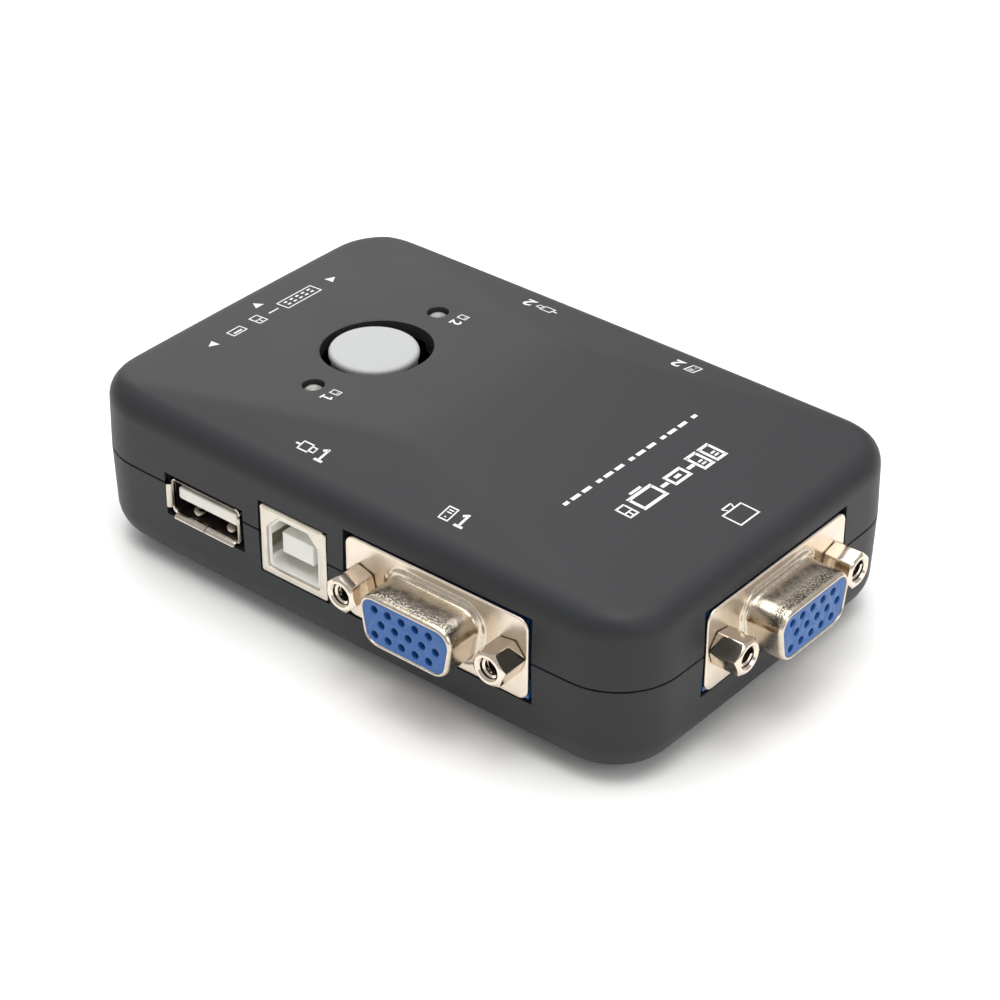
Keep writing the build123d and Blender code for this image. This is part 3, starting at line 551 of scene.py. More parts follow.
# %% The upper moulding's skin
rim_radius = 3.1
lowest_z = parting_z + parting_half_gap
fillet_start = rim_z - rim_radius
upper_lean = upper_draft * (fillet_start - lowest_z)
upper_rings = edge_rings(lowest_z, 1)
for angle in fillet_angles:
    inset = upper_lean + rim_radius * (1 - math.cos(angle))
    rise = rim_radius * math.sin(angle)
    upper_rings.append(case_ring(inset, lambda x, y, rise=rise: fillet_start + rise + roof(x, y)))
roof_step = 1.05
inset = upper_lean + rim_radius
while inset < case_half_y - 1.6:
    inset += roof_step
    upper_rings.append(case_ring(inset, lambda x, y: rim_z + roof(x, y)))
ridge = []
for point in case_ring(case_half_y - 0.02, rim_z):
    height = rim_z + roof(point.x / MM - case_x, 0)
    ridge.append(Vector((point.x, 0, height * MM)))
top_shell = extrude_rings("case_top", upper_rings + [ridge])
thicken(top_shell)
print("upper skin:", len(top_shell.data.polygons), "faces")

# %% [markdown]
# The lower moulding is a tray. Its floor carries four screw posts, each with a counterbore from
# below that hides the screw's head, and four shallow seats for the rubber feet.

# %% The lower moulding's skin
case_bottom = 1.0
bottom_radius = 5.3
highest_z = parting_z - parting_half_gap
tuck_start = case_bottom + bottom_radius
lower_rings = edge_rings(highest_z, -1)
for angle in fillet_angles:
    inset = lower_draft * (highest_z - tuck_start) + bottom_radius * (1 - math.cos(angle))
    lower_rings.append(case_ring(inset, tuck_start - bottom_radius * math.sin(angle)))
bottom_shell = extrude_rings("case_bottom", lower_rings, last="face")
thicken(bottom_shell)
print("lower skin:", len(bottom_shell.data.polygons), "faces")


# %% Posts, counterbores and foot seats
def four_places(x, y):
    return [(side_x * x, side_y * y) for side_x in (-1, 1) for side_y in (-1, 1)]


def rods_at(name, places, radius, low, high):
    """Upright rods between two heights, as one object."""
    middle = (low + high) / 2
    rods = [rod(name, radius, high - low, (x + case_x, y, middle)) for x, y in places]
    return join(rods, name)


post_places = four_places(38.5, 21.0)
foot_places = four_places(31.0, 18.5)
# Each line: name, places, radius, lower height, upper height, added or cut away.
tray_rods = [
    ("posts", post_places, 3.0, 2.0, 15.0, "UNION"),
    ("counterbores", post_places, 2.7, 0.0, 3.6, "DIFFERENCE"),
    ("clearances", post_places, 1.5, 3.0, 16.0, "DIFFERENCE"),
    ("foot_seats", foot_places, 4.7, 0.0, 1.3, "DIFFERENCE"),
]
for name, places, radius, low, high, operation in tray_rods:
    cut(bottom_shell, rods_at(name, places, radius, low, high), operation)
print("tray:", len(bottom_shell.data.polygons), "faces")

# %% [markdown]
# A tongue on the upper moulding drops behind the parting line. It lines the two halves up, and
# it is why the line looks dark but shows no light through it.

# %% The tongue behind the parting line
tongue_section = [(1.1, 14.3), (1.1, 16.2), (1.9, 16.2), (1.9, 14.3), (1.1, 14.3)]
tongue_rings = [case_ring(inset, height) for inset, height in tongue_section]
parting_tongue = extrude_rings("parting_tongue", tongue_rings)
print("tongue:", len(parting_tongue.data.polygons), "faces")

# %% [markdown]
# Every socket stands in a square-cornered opening that crosses the parting line, so the same
# boxes are cut out of both mouldings and the tongue. The button and the lamps have round holes
# in the roof. At the end a fine rounding goes along every edge that is left sharp.

# %% Openings for the sockets, the button and the lamps
# Each line: the sockets, and the opening's width and height.
socket_openings = [
    (vga_places, 31.71, 13.4),
    (usb_a_places, 15.0, 6.9),
    (usb_b_places, 12.64, 11.4),
]


def socket_cutters():
    """Boxes that reach through the wall at every socket."""
    boxes = []
    for places, width, height in socket_openings:
        boxes += [block("cut", (width, height, 12), (0, 0, -2), place) for place in places.values()]
    return join(boxes, "socket_cutters")


button_x = -20.4
button_hole_radius = 8.1
lamp_y = 13.15
lamp_hole_radius = 1.62
lamp_places = [(button_x, -lamp_y), (button_x, lamp_y)]
for shell in (top_shell, bottom_shell, parting_tongue):
    cut(shell, socket_cutters())
cut(top_shell, rods_at("button_hole", [(button_x, 0)], button_hole_radius, 20, 32))
cut(top_shell, rods_at("lamp_holes", lamp_places, lamp_hole_radius, 20, 32))
for shell in (top_shell, bottom_shell):
    bevel(shell, 0.13, 2, 40)
    smooth(shell, 40)
    apply_modifier(shell, "WEIGHTED_NORMAL", keep_sharp=True, weight=80)
join([top_shell, parting_tongue], "case_top")
settle(top_shell, "case", "case_black", ["top_cover"])
settle(bottom_shell, "case", "case_black", ["bottom_cover"])
print("case:", len(top_shell.data.polygons) + len(bottom_shell.data.polygons), "faces")

# %% [markdown]
# ## VGA sockets
# Each VGA socket has a drawn shell: one sheet of steel, pressed into a D-shaped wall and a flat
# flange, then plated with nickel. The wall rolls over at its mouth and meets the flange through
# a small raised bead, and these two roundings catch most of the light.

# %% The D outline
vga_flange = (30.81, 12.5)
flange_corner = 1.6
d_height = 7.9
d_top = 16.33
d_corner = 2.5
d_lean = math.radians(10)


def d_corners(grow):
    """The wide side is up, and the ends lean in."""
    height = d_height + 2 * grow
    top = d_top + 2 * grow
    bottom = top - 2 * height * math.tan(d_lean)
    right_low, right_high, up = bottom / 2, top / 2, height / 2
    return [(-right_low, -up), (right_low, -up), (right_high, up), (-right_high, up)]


def ring_at(outline, out):
    return [Vector((point[0], point[1], out)) for point in outline]


def d_ring(grow, out):
    return ring_at(rounded_outline(d_corners(grow), d_corner + grow, 8, 6), out)


def flange_ring(inset, out):
    corners = rectangle_corners(vga_flange[0] - 2 * inset, vga_flange[1] - 2 * inset)
    return ring_at(rounded_outline(corners, flange_corner - inset, 8, 6), out)


# %% One drawn shell
# The steps go from the back of the inner wall, out over the mouth and back to the flange's edge.
# Each is how far the outline grows, or how far it stands in from the flange's edge, and how far out.
inner_steps = [(-0.66, -0.5), (-0.66, 5.78), (-0.64, 5.88), (-0.57, 5.96)]
mouth_angles = [math.radians(90 * step / 8) for step in range(9)]
mouth_steps = [(-0.52 + 0.52 * math.sin(a), 5.25 + 0.75 * math.cos(a)) for a in mouth_angles]
wall_steps = [(0, 4.4), (0, 3.4), (0, 2.6), (0, 0.95)]
bead_steps = [(0.03, 0.72), (0.12, 0.54), (0.28, 0.44), (0.48, 0.41), (0.68, 0.35), (0.86, 0.22)]
bead_steps += [(1.02, 0.08), (1.2, 0.015), (1.35, 0), (1.6, 0)]
flange_steps = [(0.3, 0), (0.12, -0.03), (0.02, -0.12), (0, -0.22), (0, -0.44), (0.06, -0.5)]
shell_rings = [d_ring(*step) for step in inner_steps + mouth_steps + wall_steps + bead_steps]
shell_rings += [flange_ring(*step) for step in flange_steps]
drawn_shell = extrude_rings("vga_shell", shell_rings + [d_ring(*inner_steps[0])])
smooth(drawn_shell, 50)
print("drawn shell:", len(drawn_shell.data.polygons), "faces")

# %% [markdown]
# A dark reflection is painted into the plating's colour in a band behind the mouth, on its upper
# side. A number on every vertex says how strongly the band shows there, and fine noise breaks it
# up into specks.


# %% A painted dark reflection in a speckled band behind the mouth
def held(value):
    """The value, held between 0 and 1."""
    return max(0, min(1, value))


# Painted reflection: each vertex's weight for the dark reflection painted behind the mouth, on the upper side
# only.
front = drawn_shell.data.attributes.new("front", "FLOAT", "POINT")
for vertex, value in zip(drawn_shell.data.vertices, front.data):
    behind_mouth = held((5.6 - vertex.co.z) / 0.3)
    value.value = behind_mouth * held((vertex.co.z - 3.0) / 1.4) * held(vertex.co.y / 3)
tree = nickel_frosted.node_tree
base_colour = tree.nodes["Principled BSDF"].inputs["Base Color"]
plated = base_colour.links[0].from_socket
band = tree.nodes.new("ShaderNodeAttribute")
band.attribute_name = "front"
speck = noise_node(tree, tree.nodes.new("ShaderNodeTexCoord"), 0.2, 3)
contrast = tree.nodes.new("ShaderNodeMapRange")
contrast.inputs["From Min"].default_value = 0.37
contrast.inputs["From Max"].default_value = 0.58
strength = tree.nodes.new("ShaderNodeMath")
strength.operation = "MULTIPLY"
# Painted reflection: a dark colour mixed into the plated colour where the band and the specks meet.
painted_reflection = tree.nodes.new("ShaderNodeMixRGB")
painted_reflection.inputs["Color2"].default_value = (*linear(70, 66, 60), 1)
tree.links.new(speck.outputs["Fac"], contrast.inputs["Value"])
tree.links.new(contrast.outputs["Result"], strength.inputs[0])
tree.links.new(band.outputs["Fac"], strength.inputs[1])
tree.links.new(strength.outputs["Value"], painted_reflection.inputs["Fac"])
tree.links.new(plated, painted_reflection.inputs["Color1"])
tree.links.new(painted_reflection.outputs["Color"], base_colour)
print("speckled band:", len(tree.nodes), "shader nodes")


# %% A copy in each place
def copy_to(piece, name, place):
    """A copy with its own mesh, moved from its own millimetres into the frame."""
    twin = piece.copy()
    twin.data = piece.data.copy()
    named(twin, name).data.transform(place)
    bpy.context.scene.collection.objects.link(twin)
    return twin


def two_tone(piece, place, second, reach):
    """Gives the faces further out than the reach, along the port, a second surface."""
    piece.data.materials.append(second)
    back = place.inverted()
    for face in piece.data.polygons:
        if (back @ face.center).z > reach:
            face.material_index = 1


flange_front = 0.03
for name, place in vga_places.items():
    shell = copy_to(drawn_shell, f"{name}_drawn_shell", place)
    settle(shell, "case", "nickel_plate", [f"{name}_shell"], flange_plate)
    two_tone(shell, place, nickel_frosted, flange_front)
bpy.data.objects.remove(drawn_shell)
print("drawn shells:", len(vga_places))

# %% [markdown]
# The blue moulding inside is taken from the CAD node, whose flat faces only need their triangles
# merged and their edges eased. The same small tool serves the other plain mouldings.


# %% Easing a CAD node
def eased(node_name, name, slot, width, segments=2):
    """A copy of a CAD node that stands for it, with its faces merged and its edges rounded."""
    node = nodes[node_name]
    piece = node.copy()
    piece.data = node.data.copy()
    named(piece, name)
    for key in list(piece.keys()):
        del piece[key]
    piece.parent = None
    bpy.context.scene.collection.objects.link(piece)
    only(piece)
    bpy.ops.object.mode_set(mode="EDIT")
    bpy.ops.mesh.select_all(action="SELECT")
    bpy.ops.mesh.customdata_custom_splitnormals_clear()
    bpy.ops.mesh.remove_doubles(threshold=2e-6)
    bpy.ops.mesh.dissolve_limited(angle_limit=math.radians(1.0))
    bpy.ops.object.mode_set(mode="OBJECT")
    if width:
        bevel(piece, width, segments, 38)
    smooth(piece, 38)
    settle(piece, "case", slot, [node_name])
    return piece


relief_size = (1.6, 10.5, 3.3)
relief_x = 15.6
for name, place in vga_places.items():
    moulding = eased(f"{name}_insulator", f"{name}_moulding", "vga_blue", 0.07)
    for side in (-1, 1):
        cut(moulding, block("relief", relief_size, (side * relief_x, 1.9, -2.13), place))
print("blue mouldings:", len(vga_places))

# %% [markdown]
# ## Jackscrews
# A jackscrew is turned from hexagonal bar. Its chamfer is a cone that scallops the six flats,
# and the bore carries a real 40-per-inch thread. Each one stops at its own angle when it is
# tightened, so no two look alike. Shade is painted into the deep bore and the thread's roots.

# %% Hexagonal bar with a conical chamfer
jack_spacing = 24.99
jack_reach = 4.46
flats = 4.75
face_radius = 2.1
chamfer_slope = 0.62
collar_radius = 2.0
thread_root = 1.42
thread_crest = 1.1
hexagon = circle_points(flats / 2 / math.cos(math.radians(30)), 6)
bar = rounded_outline(hexagon, 0.3, 4, 7)
directions = [Vector(point).normalized() for point in bar]


def cone_ring(points, top):
    """The points, lowered where they stand outside the chamfer's cone."""
    drops = [max(0, point.length - face_radius) * chamfer_slope for point in points]
    return [Vector((p.x, p.y, top - drop)) for p, drop in zip(points, drops)]


def round_ring(radius, out):
    return [Vector((d.x * radius, d.y * radius, out)) for d in directions]


collar = [round_ring(collar_radius, -0.02), round_ring(collar_radius, 0.1)]
lower_end = [Vector((p.x, p.y, 0.1 + max(0, p.length - 2.2) * 0.2)) for p in bar]
upper_end = [cone_ring(bar, jack_reach - 0.05), cone_ring([p * 0.975 for p in bar], jack_reach)]
bore_steps = [(face_radius, 0), (1.72, 0), (1.66, 0.05), (1.44, 0.3), (thread_root, jack_reach - 0.5)]
bore = [round_ring(radius, jack_reach - depth) for radius, depth in bore_steps]
hex_bar = extrude_rings("hex_bar", collar + [lower_end] + upper_end + bore, last="face")
hex_bar.data.materials.append(nickel)
hex_bar.data.materials.append(bore_painted_shade)
# Painted shade: faces deep inside the bore take the dark surface.
for face in hex_bar.data.polygons:
    if Vector(face.center[:2]).length < 1.43 and face.center.z < jack_reach - 0.4:
        face.material_index = 1
print("hexagonal bar:", len(hex_bar.data.polygons), "faces")

# %% The thread inside
pitch = 0.635
turns = 5
thread_outline = [(thread_root, 0), (thread_crest, 0.2), (thread_crest, 0.3), (thread_root, 0.46)]
thread_outline.append((thread_root, pitch))
start_clean()
bpy.ops.mesh.primitive_circle_add(vertices=len(thread_outline), radius=MM)
thread = bpy.context.object
thread.name = "thread"
bpy.ops.object.mode_set(mode="EDIT")
cage = bmesh.from_edit_mesh(thread.data)
cage.edges.ensure_lookup_table()
closing = [edge for edge in cage.edges if {v.index for v in edge.verts} == {0, 4}]
bmesh.ops.delete(cage, geom=closing, context="EDGES_FACES")
cage.verts.ensure_lookup_table()
for vertex, (radius, out) in zip(cage.verts, thread_outline):
    vertex.co = (radius, 0, out)
bmesh.update_edit_mesh(thread.data)
bpy.ops.object.mode_set(mode="OBJECT")
helix = {"angle": math.radians(360), "screw_offset": pitch, "iterations": turns}
apply_modifier(thread, "SCREW", steps=36, render_steps=36, **helix)
thread.data.transform(Matrix.Translation((0, 0, jack_reach - 0.25 - (turns + 1) * pitch)))
tidy_normals(thread)
thread.data.materials.append(nickel)
thread.data.materials.append(bore_painted_shade)
# Painted shade: the thread's roots take the dark surface, and its crests and flanks stay plated.
for face in thread.data.polygons:
    face.material_index = 1 if Vector(face.center[:2]).length > 1.38 else 0
jackscrew = join([hex_bar, thread], "jackscrew")
smooth(jackscrew, 30)
print("jackscrew:", len(jackscrew.data.polygons), "faces")

# %% Six of them, in pairs
rest_angles = {"vga_near": (-17, 9), "vga_far": (22, -6), "vga_monitor": (-9.5, 14)}
for name, angles in rest_angles.items():
    pair = []
    for side, angle in zip((-1, 1), angles):
        twist = Matrix.Rotation(math.radians(angle), 4, "Z")
        stand = Matrix.Translation((side * jack_spacing / 2, 0, 0)) @ twist
        pair.append(copy_to(jackscrew, "screw", vga_places[name] @ stand))
    screws = join(pair, f"{name}_hex_screws")
    settle(screws, "case", "nickel_plate", [f"{name}_jackscrews"], nickel, bore_painted_shade)
bpy.data.objects.remove(jackscrew)
print("jackscrew pairs:", len(rest_angles))

# %% [markdown]
# ## USB-A sockets
# The shell is one strip of steel folded into a tube, with its seam under the tongue. Its mouth
# flares into four lips that guide the plug in, and sprung fingers press in from floor and roof.
# Shade is painted onto the tube's inner walls and corners behind the mouth.

# %% Tube
usb_sheet = 0.3
inside_w = 12.5
inside_h = 5.12
mouth_out = -0.45
tube_back = -14.3


def tube_ring(grow, out):
    corners = rectangle_corners(inside_w + 2 * grow, inside_h + 2 * grow)
    return ring_at(rounded_outline(corners, 0.6 + grow, 5, 8), out)


inner_steps = [(0, tube_back), (0, mouth_out - 0.5), (0, mouth_out - 0.06), (0.05, mouth_out)]
outer_steps = [(usb_sheet - 0.05, mouth_out), (usb_sheet, mouth_out - 0.06), (usb_sheet, tube_back)]
tube_rings = [tube_ring(*step) for step in inner_steps + outer_steps + inner_steps[:1]]
usb_a_tube = extrude_rings("usb_a_tube", tube_rings)
print("tube:", len(usb_a_tube.data.polygons), "faces")

# %% Flared lips
lip_sheet = 0.28
lip_turn = 72
# Each line: how far along the lip's half length, and how full its section is there.
lip_stations = [(-1, 0.7), (-0.985, 0.92), (-0.95, 1), (0, 1), (0.95, 1), (0.985, 0.92), (1, 0.7)]


def lip(half_length, base, up, radius):
    """A lip that curls outwards from the tube's edge. Up is the direction in which it flares."""
    across = Vector((-up.y, up.x, 0))
    inner = [(mouth_out - 0.4, base)]
    outer = [(mouth_out - 0.4, base + lip_sheet)]
    for step in range(8):
        angle = math.radians(lip_turn * step / 7)
        out = mouth_out - 0.13 + radius * math.sin(angle)
        rise = base + radius * (1 - math.cos(angle))
        inner.append((out, rise))
        outer.append((out - lip_sheet * math.sin(angle), rise + lip_sheet * math.cos(angle)))
    inner[-1] = (inner[-1][0] - 0.05, inner[-1][1])
    profile = [Vector(point) for point in inner + outer[::-1]]
    middle = Vector((sum(p.x for p in profile), sum(p.y for p in profile))) / len(profile)
    rings = []
    for along, fullness in lip_stations:
        ring = []
        for corner in profile:
            point = middle + (corner - middle) * fullness
            ring.append(across * along * half_length + up * point.y + Vector((0, 0, point.x)))
        rings.append(ring)
    return extrude_rings("lip", rings, first="face", last="face")


lips = [
    lip(5.7, inside_h / 2, Vector((0, 1, 0)), 0.35),
    lip(5.7, inside_h / 2, Vector((0, -1, 0)), 0.92),
    lip(1.9, inside_w / 2, Vector((1, 0, 0)), 0.92),
    lip(1.9, inside_w / 2, Vector((-1, 0, 0)), 0.92),
]
print("lips:", len(lips))

# %% Sprung fingers
finger_sheet = 0.22
# Each line: how far out, how far the finger rises there, and its half width.
finger_path = [(-7.5, 0.02, 1), (-6.0, 0.25, 1), (-4.5, 0.5, 1), (-3.1, 0.74, 1), (-2.5, 0.8, 1)]
finger_path += [(-2.1, 0.76, 0.97), (-1.8, 0.66, 0.88), (-1.57, 0.54, 0.7), (-1.42, 0.42, 0.42)]
finger_path += [(-1.36, 0.34, 0.14)]


def finger(across, up):
    """A strip that rises from the floor or the roof towards the plug and ends in a rounded tip."""
    rings = []
    for out, rise, half_width in finger_path:
        left, right = across - half_width, across + half_width
        top = up * (-inside_h / 2 + rise)
        under = up * (-inside_h / 2 + rise - finger_sheet)
        corners = [(left, under), (right, under), (right, top), (left, top)]
        rings.append(ring_at(corners, out))
    return extrude_rings("finger", rings, first="face", last="face")


fingers = [finger(across, up) for across in (-2.8, 3.5) for up in (1, -1)]
print("fingers:", len(fingers))

# %% Seam, legs and painted shade inside
leg_size = (0.3, 8.0, 2.0)
leg_x = inside_w / 2 + 0.15
legs = [block("leg", leg_size, (side * leg_x, -3.6, -9.0)) for side in (-1, 1)]
for slit in (usb_a_tube, lips[1]):
    cut(slit, block("seam", (0.13, 1.9, 16), (0.1, -inside_h / 2 - 0.8, -6)))
usb_a_metal = join([usb_a_tube] + lips + fingers + legs, "usb_a_metal")
usb_a_metal.data.materials.append(tin_steel)
usb_a_metal.data.materials.append(tube_painted_shade)
# Painted shade: inner walls and corners further in than the mouth take the dark surface.
touch = 0.02
for face in usb_a_metal.data.polygons:
    across, up, out = abs(face.center.x), abs(face.center.y), face.center.z
    on_wall = abs(across - inside_w / 2) < touch or abs(up - inside_h / 2) < touch
    in_corner = across > 5.6 and up > 2.0
    within = across < inside_w / 2 + touch and up < inside_h / 2 + touch
    if (on_wall or in_corner) and within and out < mouth_out - 0.5:
        face.material_index = 1
smooth(usb_a_metal, 40)
print("USB-A metal:", len(usb_a_metal.data.polygons), "faces")

# %% Three sockets, each with its tongue
for name, place in usb_a_places.items():
    metal = copy_to(usb_a_metal, f"{name}_metal", place)
    settle(metal, "case", "socket_steel", [f"{name}_shell"], tin_steel, tube_painted_shade)
    tongue = eased(f"{name}_tongue", f"{name}_plastic", "usb_white", 0.42, segments=4)
    tongue.data.materials[0] = tongue_plastic
bpy.data.objects.remove(usb_a_metal)
print("USB-A sockets:", len(usb_a_places))

# %% [markdown]
# ## USB-B sockets
# A square socket with cut upper corners. The sheet folds back round the front, which leaves a
# fine line below its top edge and a nick at one corner. The white moulding inside is slightly
# translucent, so its walls glow a little where light reaches them.

# %% Front and sides in one sheet
usb_b_mouth = (9.5, 8.45)
usb_b_size = (12.04, 10.9)
usb_b_back = -16


def six_corners(width, height, shoulder):
    """A rectangle whose two upper corners are cut off."""
    right = width / 2
    top = height / 2
    left_half = [(-right + shoulder, top), (-right, top - shoulder)]
    return [(-right, -top), (right, -top), (right, top - shoulder), (right - shoulder, top)] + left_half


def mouth_ring(grow, out):
    corners = six_corners(usb_b_mouth[0] + 2 * grow, usb_b_mouth[1] + 2 * grow, 2.1)
    return ring_at(rounded_outline(corners, 0.45, 4, 5), out)


def outer_ring(inset, out):
    corners = six_corners(usb_b_size[0] - 2 * inset, usb_b_size[1] - 2 * inset, 0.42)
    return ring_at(rounded_outline(corners, 0.34, 4, 5), out)


mouth_steps = [(0, -0.3), (0, -0.08), (0.05, -0.01), (0.14, 0)]
outer_steps = [(0.34, 0), (0.14, -0.05), (0.03, -0.17), (0, -0.34)]
outer_steps += [(0, usb_b_back), (usb_sheet, usb_b_back), (usb_sheet, -0.3)]
usb_b_rings = [mouth_ring(*step) for step in mouth_steps]
usb_b_rings += [outer_ring(*step) for step in outer_steps] + [mouth_ring(*mouth_steps[0])]
usb_b_metal = extrude_rings("usb_b_metal", usb_b_rings)
usb_b_right = usb_b_size[0] / 2
usb_b_top = usb_b_size[1] / 2
fold_y = usb_b_top - 0.42
cut(usb_b_metal, block("fold_line", (11.0, 0.09, 0.12), (-0.5, fold_y, 0)))
cut(usb_b_metal, block("nick", (0.75, 0.5, 1.2), (usb_b_right - 0.2, usb_b_top, -0.2)))
cut(usb_b_metal, block("side_slit", (0.5, 0.09, 0.12), (-usb_b_right + 0.35, fold_y, 0)))
leg_size = (0.3, 8.6, 2.0)
leg_x = usb_b_right - 0.15
legs = [block("leg", leg_size, (side * leg_x, -4.2, -10.0)) for side in (-1, 1)]
usb_b_metal = join([usb_b_metal] + legs, "usb_b_metal")
smooth(usb_b_metal, 40)
print("USB-B metal:", len(usb_b_metal.data.polygons), "faces")

# %% Two sockets, each with its white moulding
for name, place in usb_b_places.items():
    metal = copy_to(usb_b_metal, f"{name}_metal", place)
    settle(metal, "case", "socket_steel", [f"{name}_shell"])
    plastic = eased(f"{name}_insulator", f"{name}_plastic", "usb_white", 0.16, segments=3)
    cut(plastic, block("side_slot", (2.4, 3.4, 7.5), (-5.3, -0.72, -4.2), place))
    plate = block("block_face", (5.64, 3.3, 2.6), (0, 0, -2.3), place)
    apply_modifier(plate, "BEVEL", width=0.16 * MM, segments=3, limit_method="NONE")
    plate.data.materials.append(white_plastic)
    smooth(join([plastic, plate], f"{name}_plastic"), 38)
bpy.data.objects.remove(usb_b_metal)
print("USB-B sockets:", len(usb_b_places))

# %% [markdown]
# ## Button, lamps and feet
# The pale button is a flat-topped cap with a soft edge. It sits slightly off the middle of its
# hole because the switch under it is soldered by hand. Two clear 3 mm lamps stand in their holes,
# each with a metal cup inside that shows as a bright dot. The feet are plain rubber discs.

# %% Button cap
cap_low, cap_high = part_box("button_cap")
cap_centre = (cap_low + cap_high) / 2 / MM
cap_radius = (cap_high.x - cap_low.x) / 2 / MM
cap_top = cap_high.z / MM
skirt_radius = cap_radius - 0.32
edge_drop = 0.6
# Each line: the radius, and how far below the top.
cap_steps = [(5.3, 3.2), (skirt_radius - 0.06, 3.2), (skirt_radius, 3.14), (skirt_radius, 1.2)]
cap_steps += [(cap_radius, 0.9), (cap_radius, edge_drop)]
for step in range(1, 7):
    angle = math.radians(15 * step)
    cap_steps.append((cap_radius - 0.58 * (1 - math.cos(angle)), edge_drop - 0.56 * math.sin(angle)))
cap_steps += [(5.0, 0.02), (3.0, 0.005), (1.0, 0)]
cap_outline = [(radius, cap_top - drop) for radius, drop in cap_steps]
button = turned("button", cap_outline, cap_centre.x, cap_centre.y, 72)
smooth(button, 35)
settle(button, "button", "button_grey", ["button_cap"])
print("button:", len(button.data.polygons), "faces")

# %% Lamps
lens_radius = 1.5
lens_rim_radius = 1.9
dome_rise = 0.8
dome_angles = [math.radians(degrees) for degrees in (15, 30, 45, 60, 72, 82)]
# Each line: the cup's radius, and how far it is below the lens's tip.
cup_steps = [(0.25, 2.6), (0.62, 2.2), (0.85, 1.75), (0.7, 1.75), (0.35, 2.1)]


def lamp(node_name, name):
    """A lens turned from its outline, with the small metal cup inside."""
    low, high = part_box(node_name)
    centre = (low + high) / 2 / MM
    tip = high.z / MM
    foot = low.z / MM
    dome = tip - dome_rise
    outline = [(lens_rim_radius, foot), (lens_rim_radius, foot + 1.0), (lens_radius, foot + 1.02)]
    outline.append((lens_radius, dome))
    outline += [(lens_radius * math.cos(a), dome + dome_rise * math.sin(a)) for a in dome_angles]
    lens = turned(name, outline, centre.x, centre.y, 32)
    smooth(lens, 50)
    settle(lens, "case", "lamp_clear", [node_name])
    cup_outline = [(0.25, foot + 0.4)] + [(radius, tip - drop) for radius, drop in cup_steps]
    cup = turned(f"{name}_cup", cup_outline, centre.x - 0.3, centre.y, 20)
    smooth(cup, 50)
    settle(cup, "case", "tinned_lead", [], lamp_cup)
    print(name, "stands", round(tip - foot, 2), "mm high")


lamp("led_1", "lamp_1")
lamp("led_2", "lamp_2")

# %% Feet
feet = eased("rubber_feet", "feet", "foot_rubber", 0.0)
print("feet:", len(feet.data.polygons), "faces")

# %% [markdown]
# ## Printed marks
# The marks on the roof are pad-printed in white ink. Each is a thin film that follows the roof,
# so it is drawn flat, cut into small faces and then laid on the surface. They say what each side
# is for with plain pictures and the numbers 1 and 2.

# %% Laying ink on the roof
ink_lift = 0.012
ink_pieces = []


def skin_height(x, y):
    """Height of the upper moulding in millimetres at a place about the case's middle."""
    edge = case_half_y + side_bulge * (1 - (x / case_half_x) ** 2)
    inset = edge - abs(y) - upper_lean
    fall = 0
    if inset < rim_radius:
        fall = rim_radius - math.sqrt(max(0, rim_radius ** 2 - (rim_radius - inset) ** 2))
    return rim_z - fall + roof(x, y)


def lay_ink(piece, centre, degrees):
    """Turns a flat drawing in millimetres, moves it to its centre and wraps it onto the roof."""
    only(piece)
    bpy.ops.object.mode_set(mode="EDIT")
    bpy.ops.mesh.select_all(action="SELECT")
    bpy.ops.mesh.remove_doubles(threshold=1e-4)
    bpy.ops.object.mode_set(mode="OBJECT")
    turn = Matrix.Rotation(math.radians(degrees), 4, "Z")
    piece.data.transform(Matrix.Translation((*centre, 0)) @ turn)
    for vertex in piece.data.vertices:
        x, y, lift = vertex.co
        vertex.co = Vector((x + case_x, y, skin_height(x, y) + ink_lift + lift)) * MM
    ink_pieces.append(piece)


# %% Strokes, boxes and figures
def drawing(name, strokes):
    """Flat strokes, each from one point to another with a width, divided to follow a curve."""
    bars = []
    for x0, y0, x1, y1, width in strokes:
        start = Vector((x0, y0))
        run = Vector((x1, y1)) - start
        middle = start + run / 2
        start_clean()
        pieces = max(2, int(run.length / 0.8))
        bpy.ops.mesh.primitive_grid_add(x_subdivisions=pieces, y_subdivisions=2, size=1)
        stroke = bpy.context.object
        stretch = Matrix.Diagonal((run.length, width, 1, 1))
        turn = Matrix.Rotation(math.atan2(run.y, run.x), 4, "Z")
        stroke.data.transform(Matrix.Translation((middle.x, middle.y, 0)) @ turn @ stretch)
        bars.append(stroke)
    return join(bars, name)


def outline_box(width, height, line, x=0, y=0):
    """Four strokes round a rectangle."""
    left, right, low, high = x - width / 2, x + width / 2, y - height / 2, y + height / 2
    half = line / 2
    return [
        (left - half, low, right + half, low, line),
        (left - half, high, right + half, high, line),
        (left, low, left, high, line),
        (right, low, right, high, line),
    ]


def figure(text, height):
    """A numeral: 1 is drawn with a flag and a foot, 2 comes from the plain built-in typeface."""
    if text == "1":
        thick = 0.17 * height
        top = height / 2
        foot = 0.3 * height
        stem = (0, -top, 0, top, thick)
        flag = (0, top - thick * 0.4, -0.28 * height, top * 0.5, thick)
        return drawing("one", [stem, flag, (-foot, -top, foot, -top, thick)])
    start_clean()
    bpy.ops.object.text_add()
    numeral = bpy.context.object
    numeral.data.body = text
    numeral.data.size = height / 0.72
    numeral.data.align_x = "CENTER"
    numeral.data.align_y = "CENTER"
    numeral.data.offset = 0.03 * height
    bpy.ops.object.convert(target="MESH")
    return bpy.context.object


# %% Numerals beside the lamps
lamp_marks_x = -16.4
small_tower = outline_box(0.95, 1.45, 0.17) + [(-0.22, 0.35, 0.22, 0.35, 0.15)]
for text, y in (("1", -13.9), ("2", 13.1)):
    lay_ink(drawing("small_tower", small_tower), (lamp_marks_x, y + 0.95), -90)
    lay_ink(figure(text, 1.75), (lamp_marks_x, y - 0.85), -90)

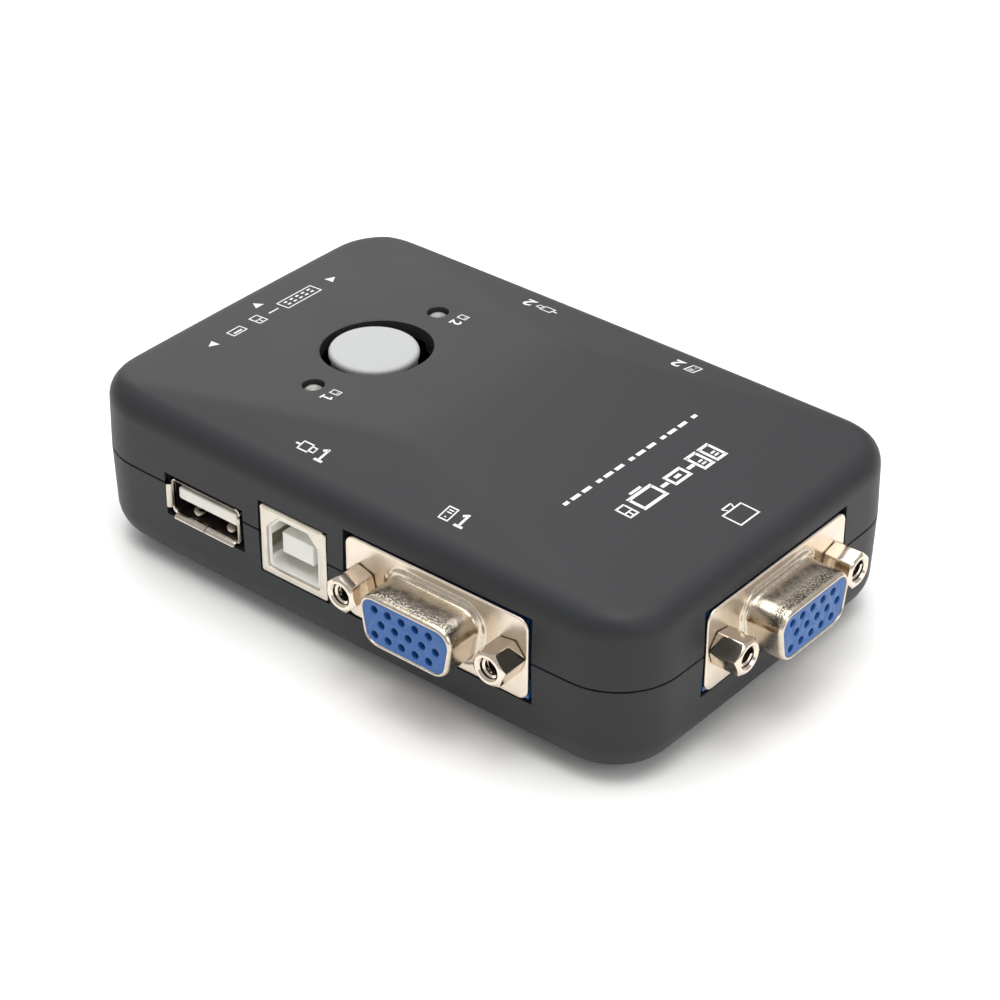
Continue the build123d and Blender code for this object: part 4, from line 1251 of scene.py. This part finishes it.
# %% A plug and a computer beside the sockets
plug = outline_box(1.7, 1.5, 0.22, 0.2) + outline_box(0.8, 0.9, 0.2, 1.55)
plug += [(-0.65, 0, -1.5, 0, 0.3)]
computer = outline_box(1.5, 2.3, 0.22) + [(-0.4, 0.65, 0.4, 0.65, 0.2), (-0.4, 0.2, 0.4, 0.2, 0.2)]
computer += [(-0.12, -0.65, 0.12, -0.65, 0.24)]
side_marks_y = 24.75
for number, side, degrees in (("1", -1, 0), ("2", 1, 180)):
    y = side * side_marks_y
    lay_ink(drawing("plug", plug), (-10.3 + 1.0 * side, y), degrees)
    lay_ink(figure(number, 2.4), (-10.3 - 2.5 * side, y), degrees)
    lay_ink(drawing("computer", computer), (15.2 + 1.3 * side, y), degrees)
    lay_ink(figure(number, 2.4), (15.2 - 1.3 * side, y), degrees)
print("drawings so far:", len(ink_pieces))


# %% Arrows towards the three console sockets
def arrow():
    """A solid triangle with its point along +X."""
    start_clean()
    bpy.ops.mesh.primitive_circle_add(vertices=3, radius=0.95, fill_type="NGON")
    piece = bpy.context.object
    piece.data.transform(Matrix.Rotation(math.radians(-90), 4, "Z"))
    return piece


console_x = -40.0
lay_ink(arrow(), (console_x, 11.8), 90)
lay_ink(arrow(), (console_x, -12.8), -90)
lay_ink(arrow(), (-43.1, -0.5), 180)

# %% Keyboard and mouse between the arrows
keys = [(x, y) for x in (-2.4, -1.2, 0.0, 1.2, 2.4) for y in (-0.45, 0.35)]
keyboard = outline_box(7.0, 2.3, 0.2) + [(x - 0.3, y, x + 0.3, y, 0.34) for x, y in keys]
mouse = outline_box(1.5, 2.2, 0.2) + [(0, 0.1, 0, 1.1, 0.18), (-0.75, 0.1, 0.75, 0.1, 0.18)]
link = [(-1.0, 0, 1.0, 0, 0.26)]
socket = outline_box(2.6, 1.5, 0.2) + [(-0.8, 0.2, 0.8, 0.2, 0.34)]
lay_ink(drawing("keyboard", keyboard), (console_x, 5.0), -90)
lay_ink(drawing("link", link), (console_x, -0.4), -90)
lay_ink(drawing("mouse", mouse), (console_x, -3.6), -90)
lay_ink(drawing("socket", socket), (console_x, -8.0), -90)

# %% Two computers to one screen
tower = outline_box(1.9, 3.1, 0.5) + [(-0.42, 0.75, 0.42, 0.75, 0.34), (-0.42, 0.1, 0.42, 0.1, 0.34)]
box = outline_box(3.2, 1.9, 0.5) + [(-0.6, 0, 0.6, 0, 0.6)]
screen = outline_box(4.6, 2.7, 0.55) + [(-1.2, -2.05, 1.2, -2.05, 0.45)]
wire = [(-0.7, 0, 0.7, 0, 0.6)]
pointer = outline_box(1.6, 2.4, 0.3) + [(0, 0.2, 0, 1.2, 0.24), (-0.8, 0.2, 0.8, 0.2, 0.24)]
system = [(tower, 9.0), (tower, 6.2), (wire, 4.2), (box, 1.3), (wire, -1.5), (screen, -5.2), (pointer, -9.6)]
for strokes, y in system:
    lay_ink(drawing("system", strokes), (31.2, y), -90)

# %% A rule with stops, and the outline of a monitor beside its socket
rule = []
for k in range(13):
    start = -15.0 + 2.32 * k
    rule.append((start, 0, start + (1.7 if k % 3 else 1.0), 0, 0.6))
lay_ink(drawing("rule", rule), (24.4, -0.3), -90)
monitor = outline_box(4.0, 2.9, 0.26) + [(-1.0, -2.35, 1.0, -2.35, 0.26)]
monitor += [(-0.6, -1.6, -1.0, -2.35, 0.2), (0.6, -1.6, 1.0, -2.35, 0.2)]
lay_ink(drawing("monitor", monitor), (42.3, 0.1), -90)

# %% One film of ink
ink = join(ink_pieces, "white_marks")
settle(ink, "case", "usb_white", [], white_ink)
print("ink:", len(ink.data.polygons), "faces")
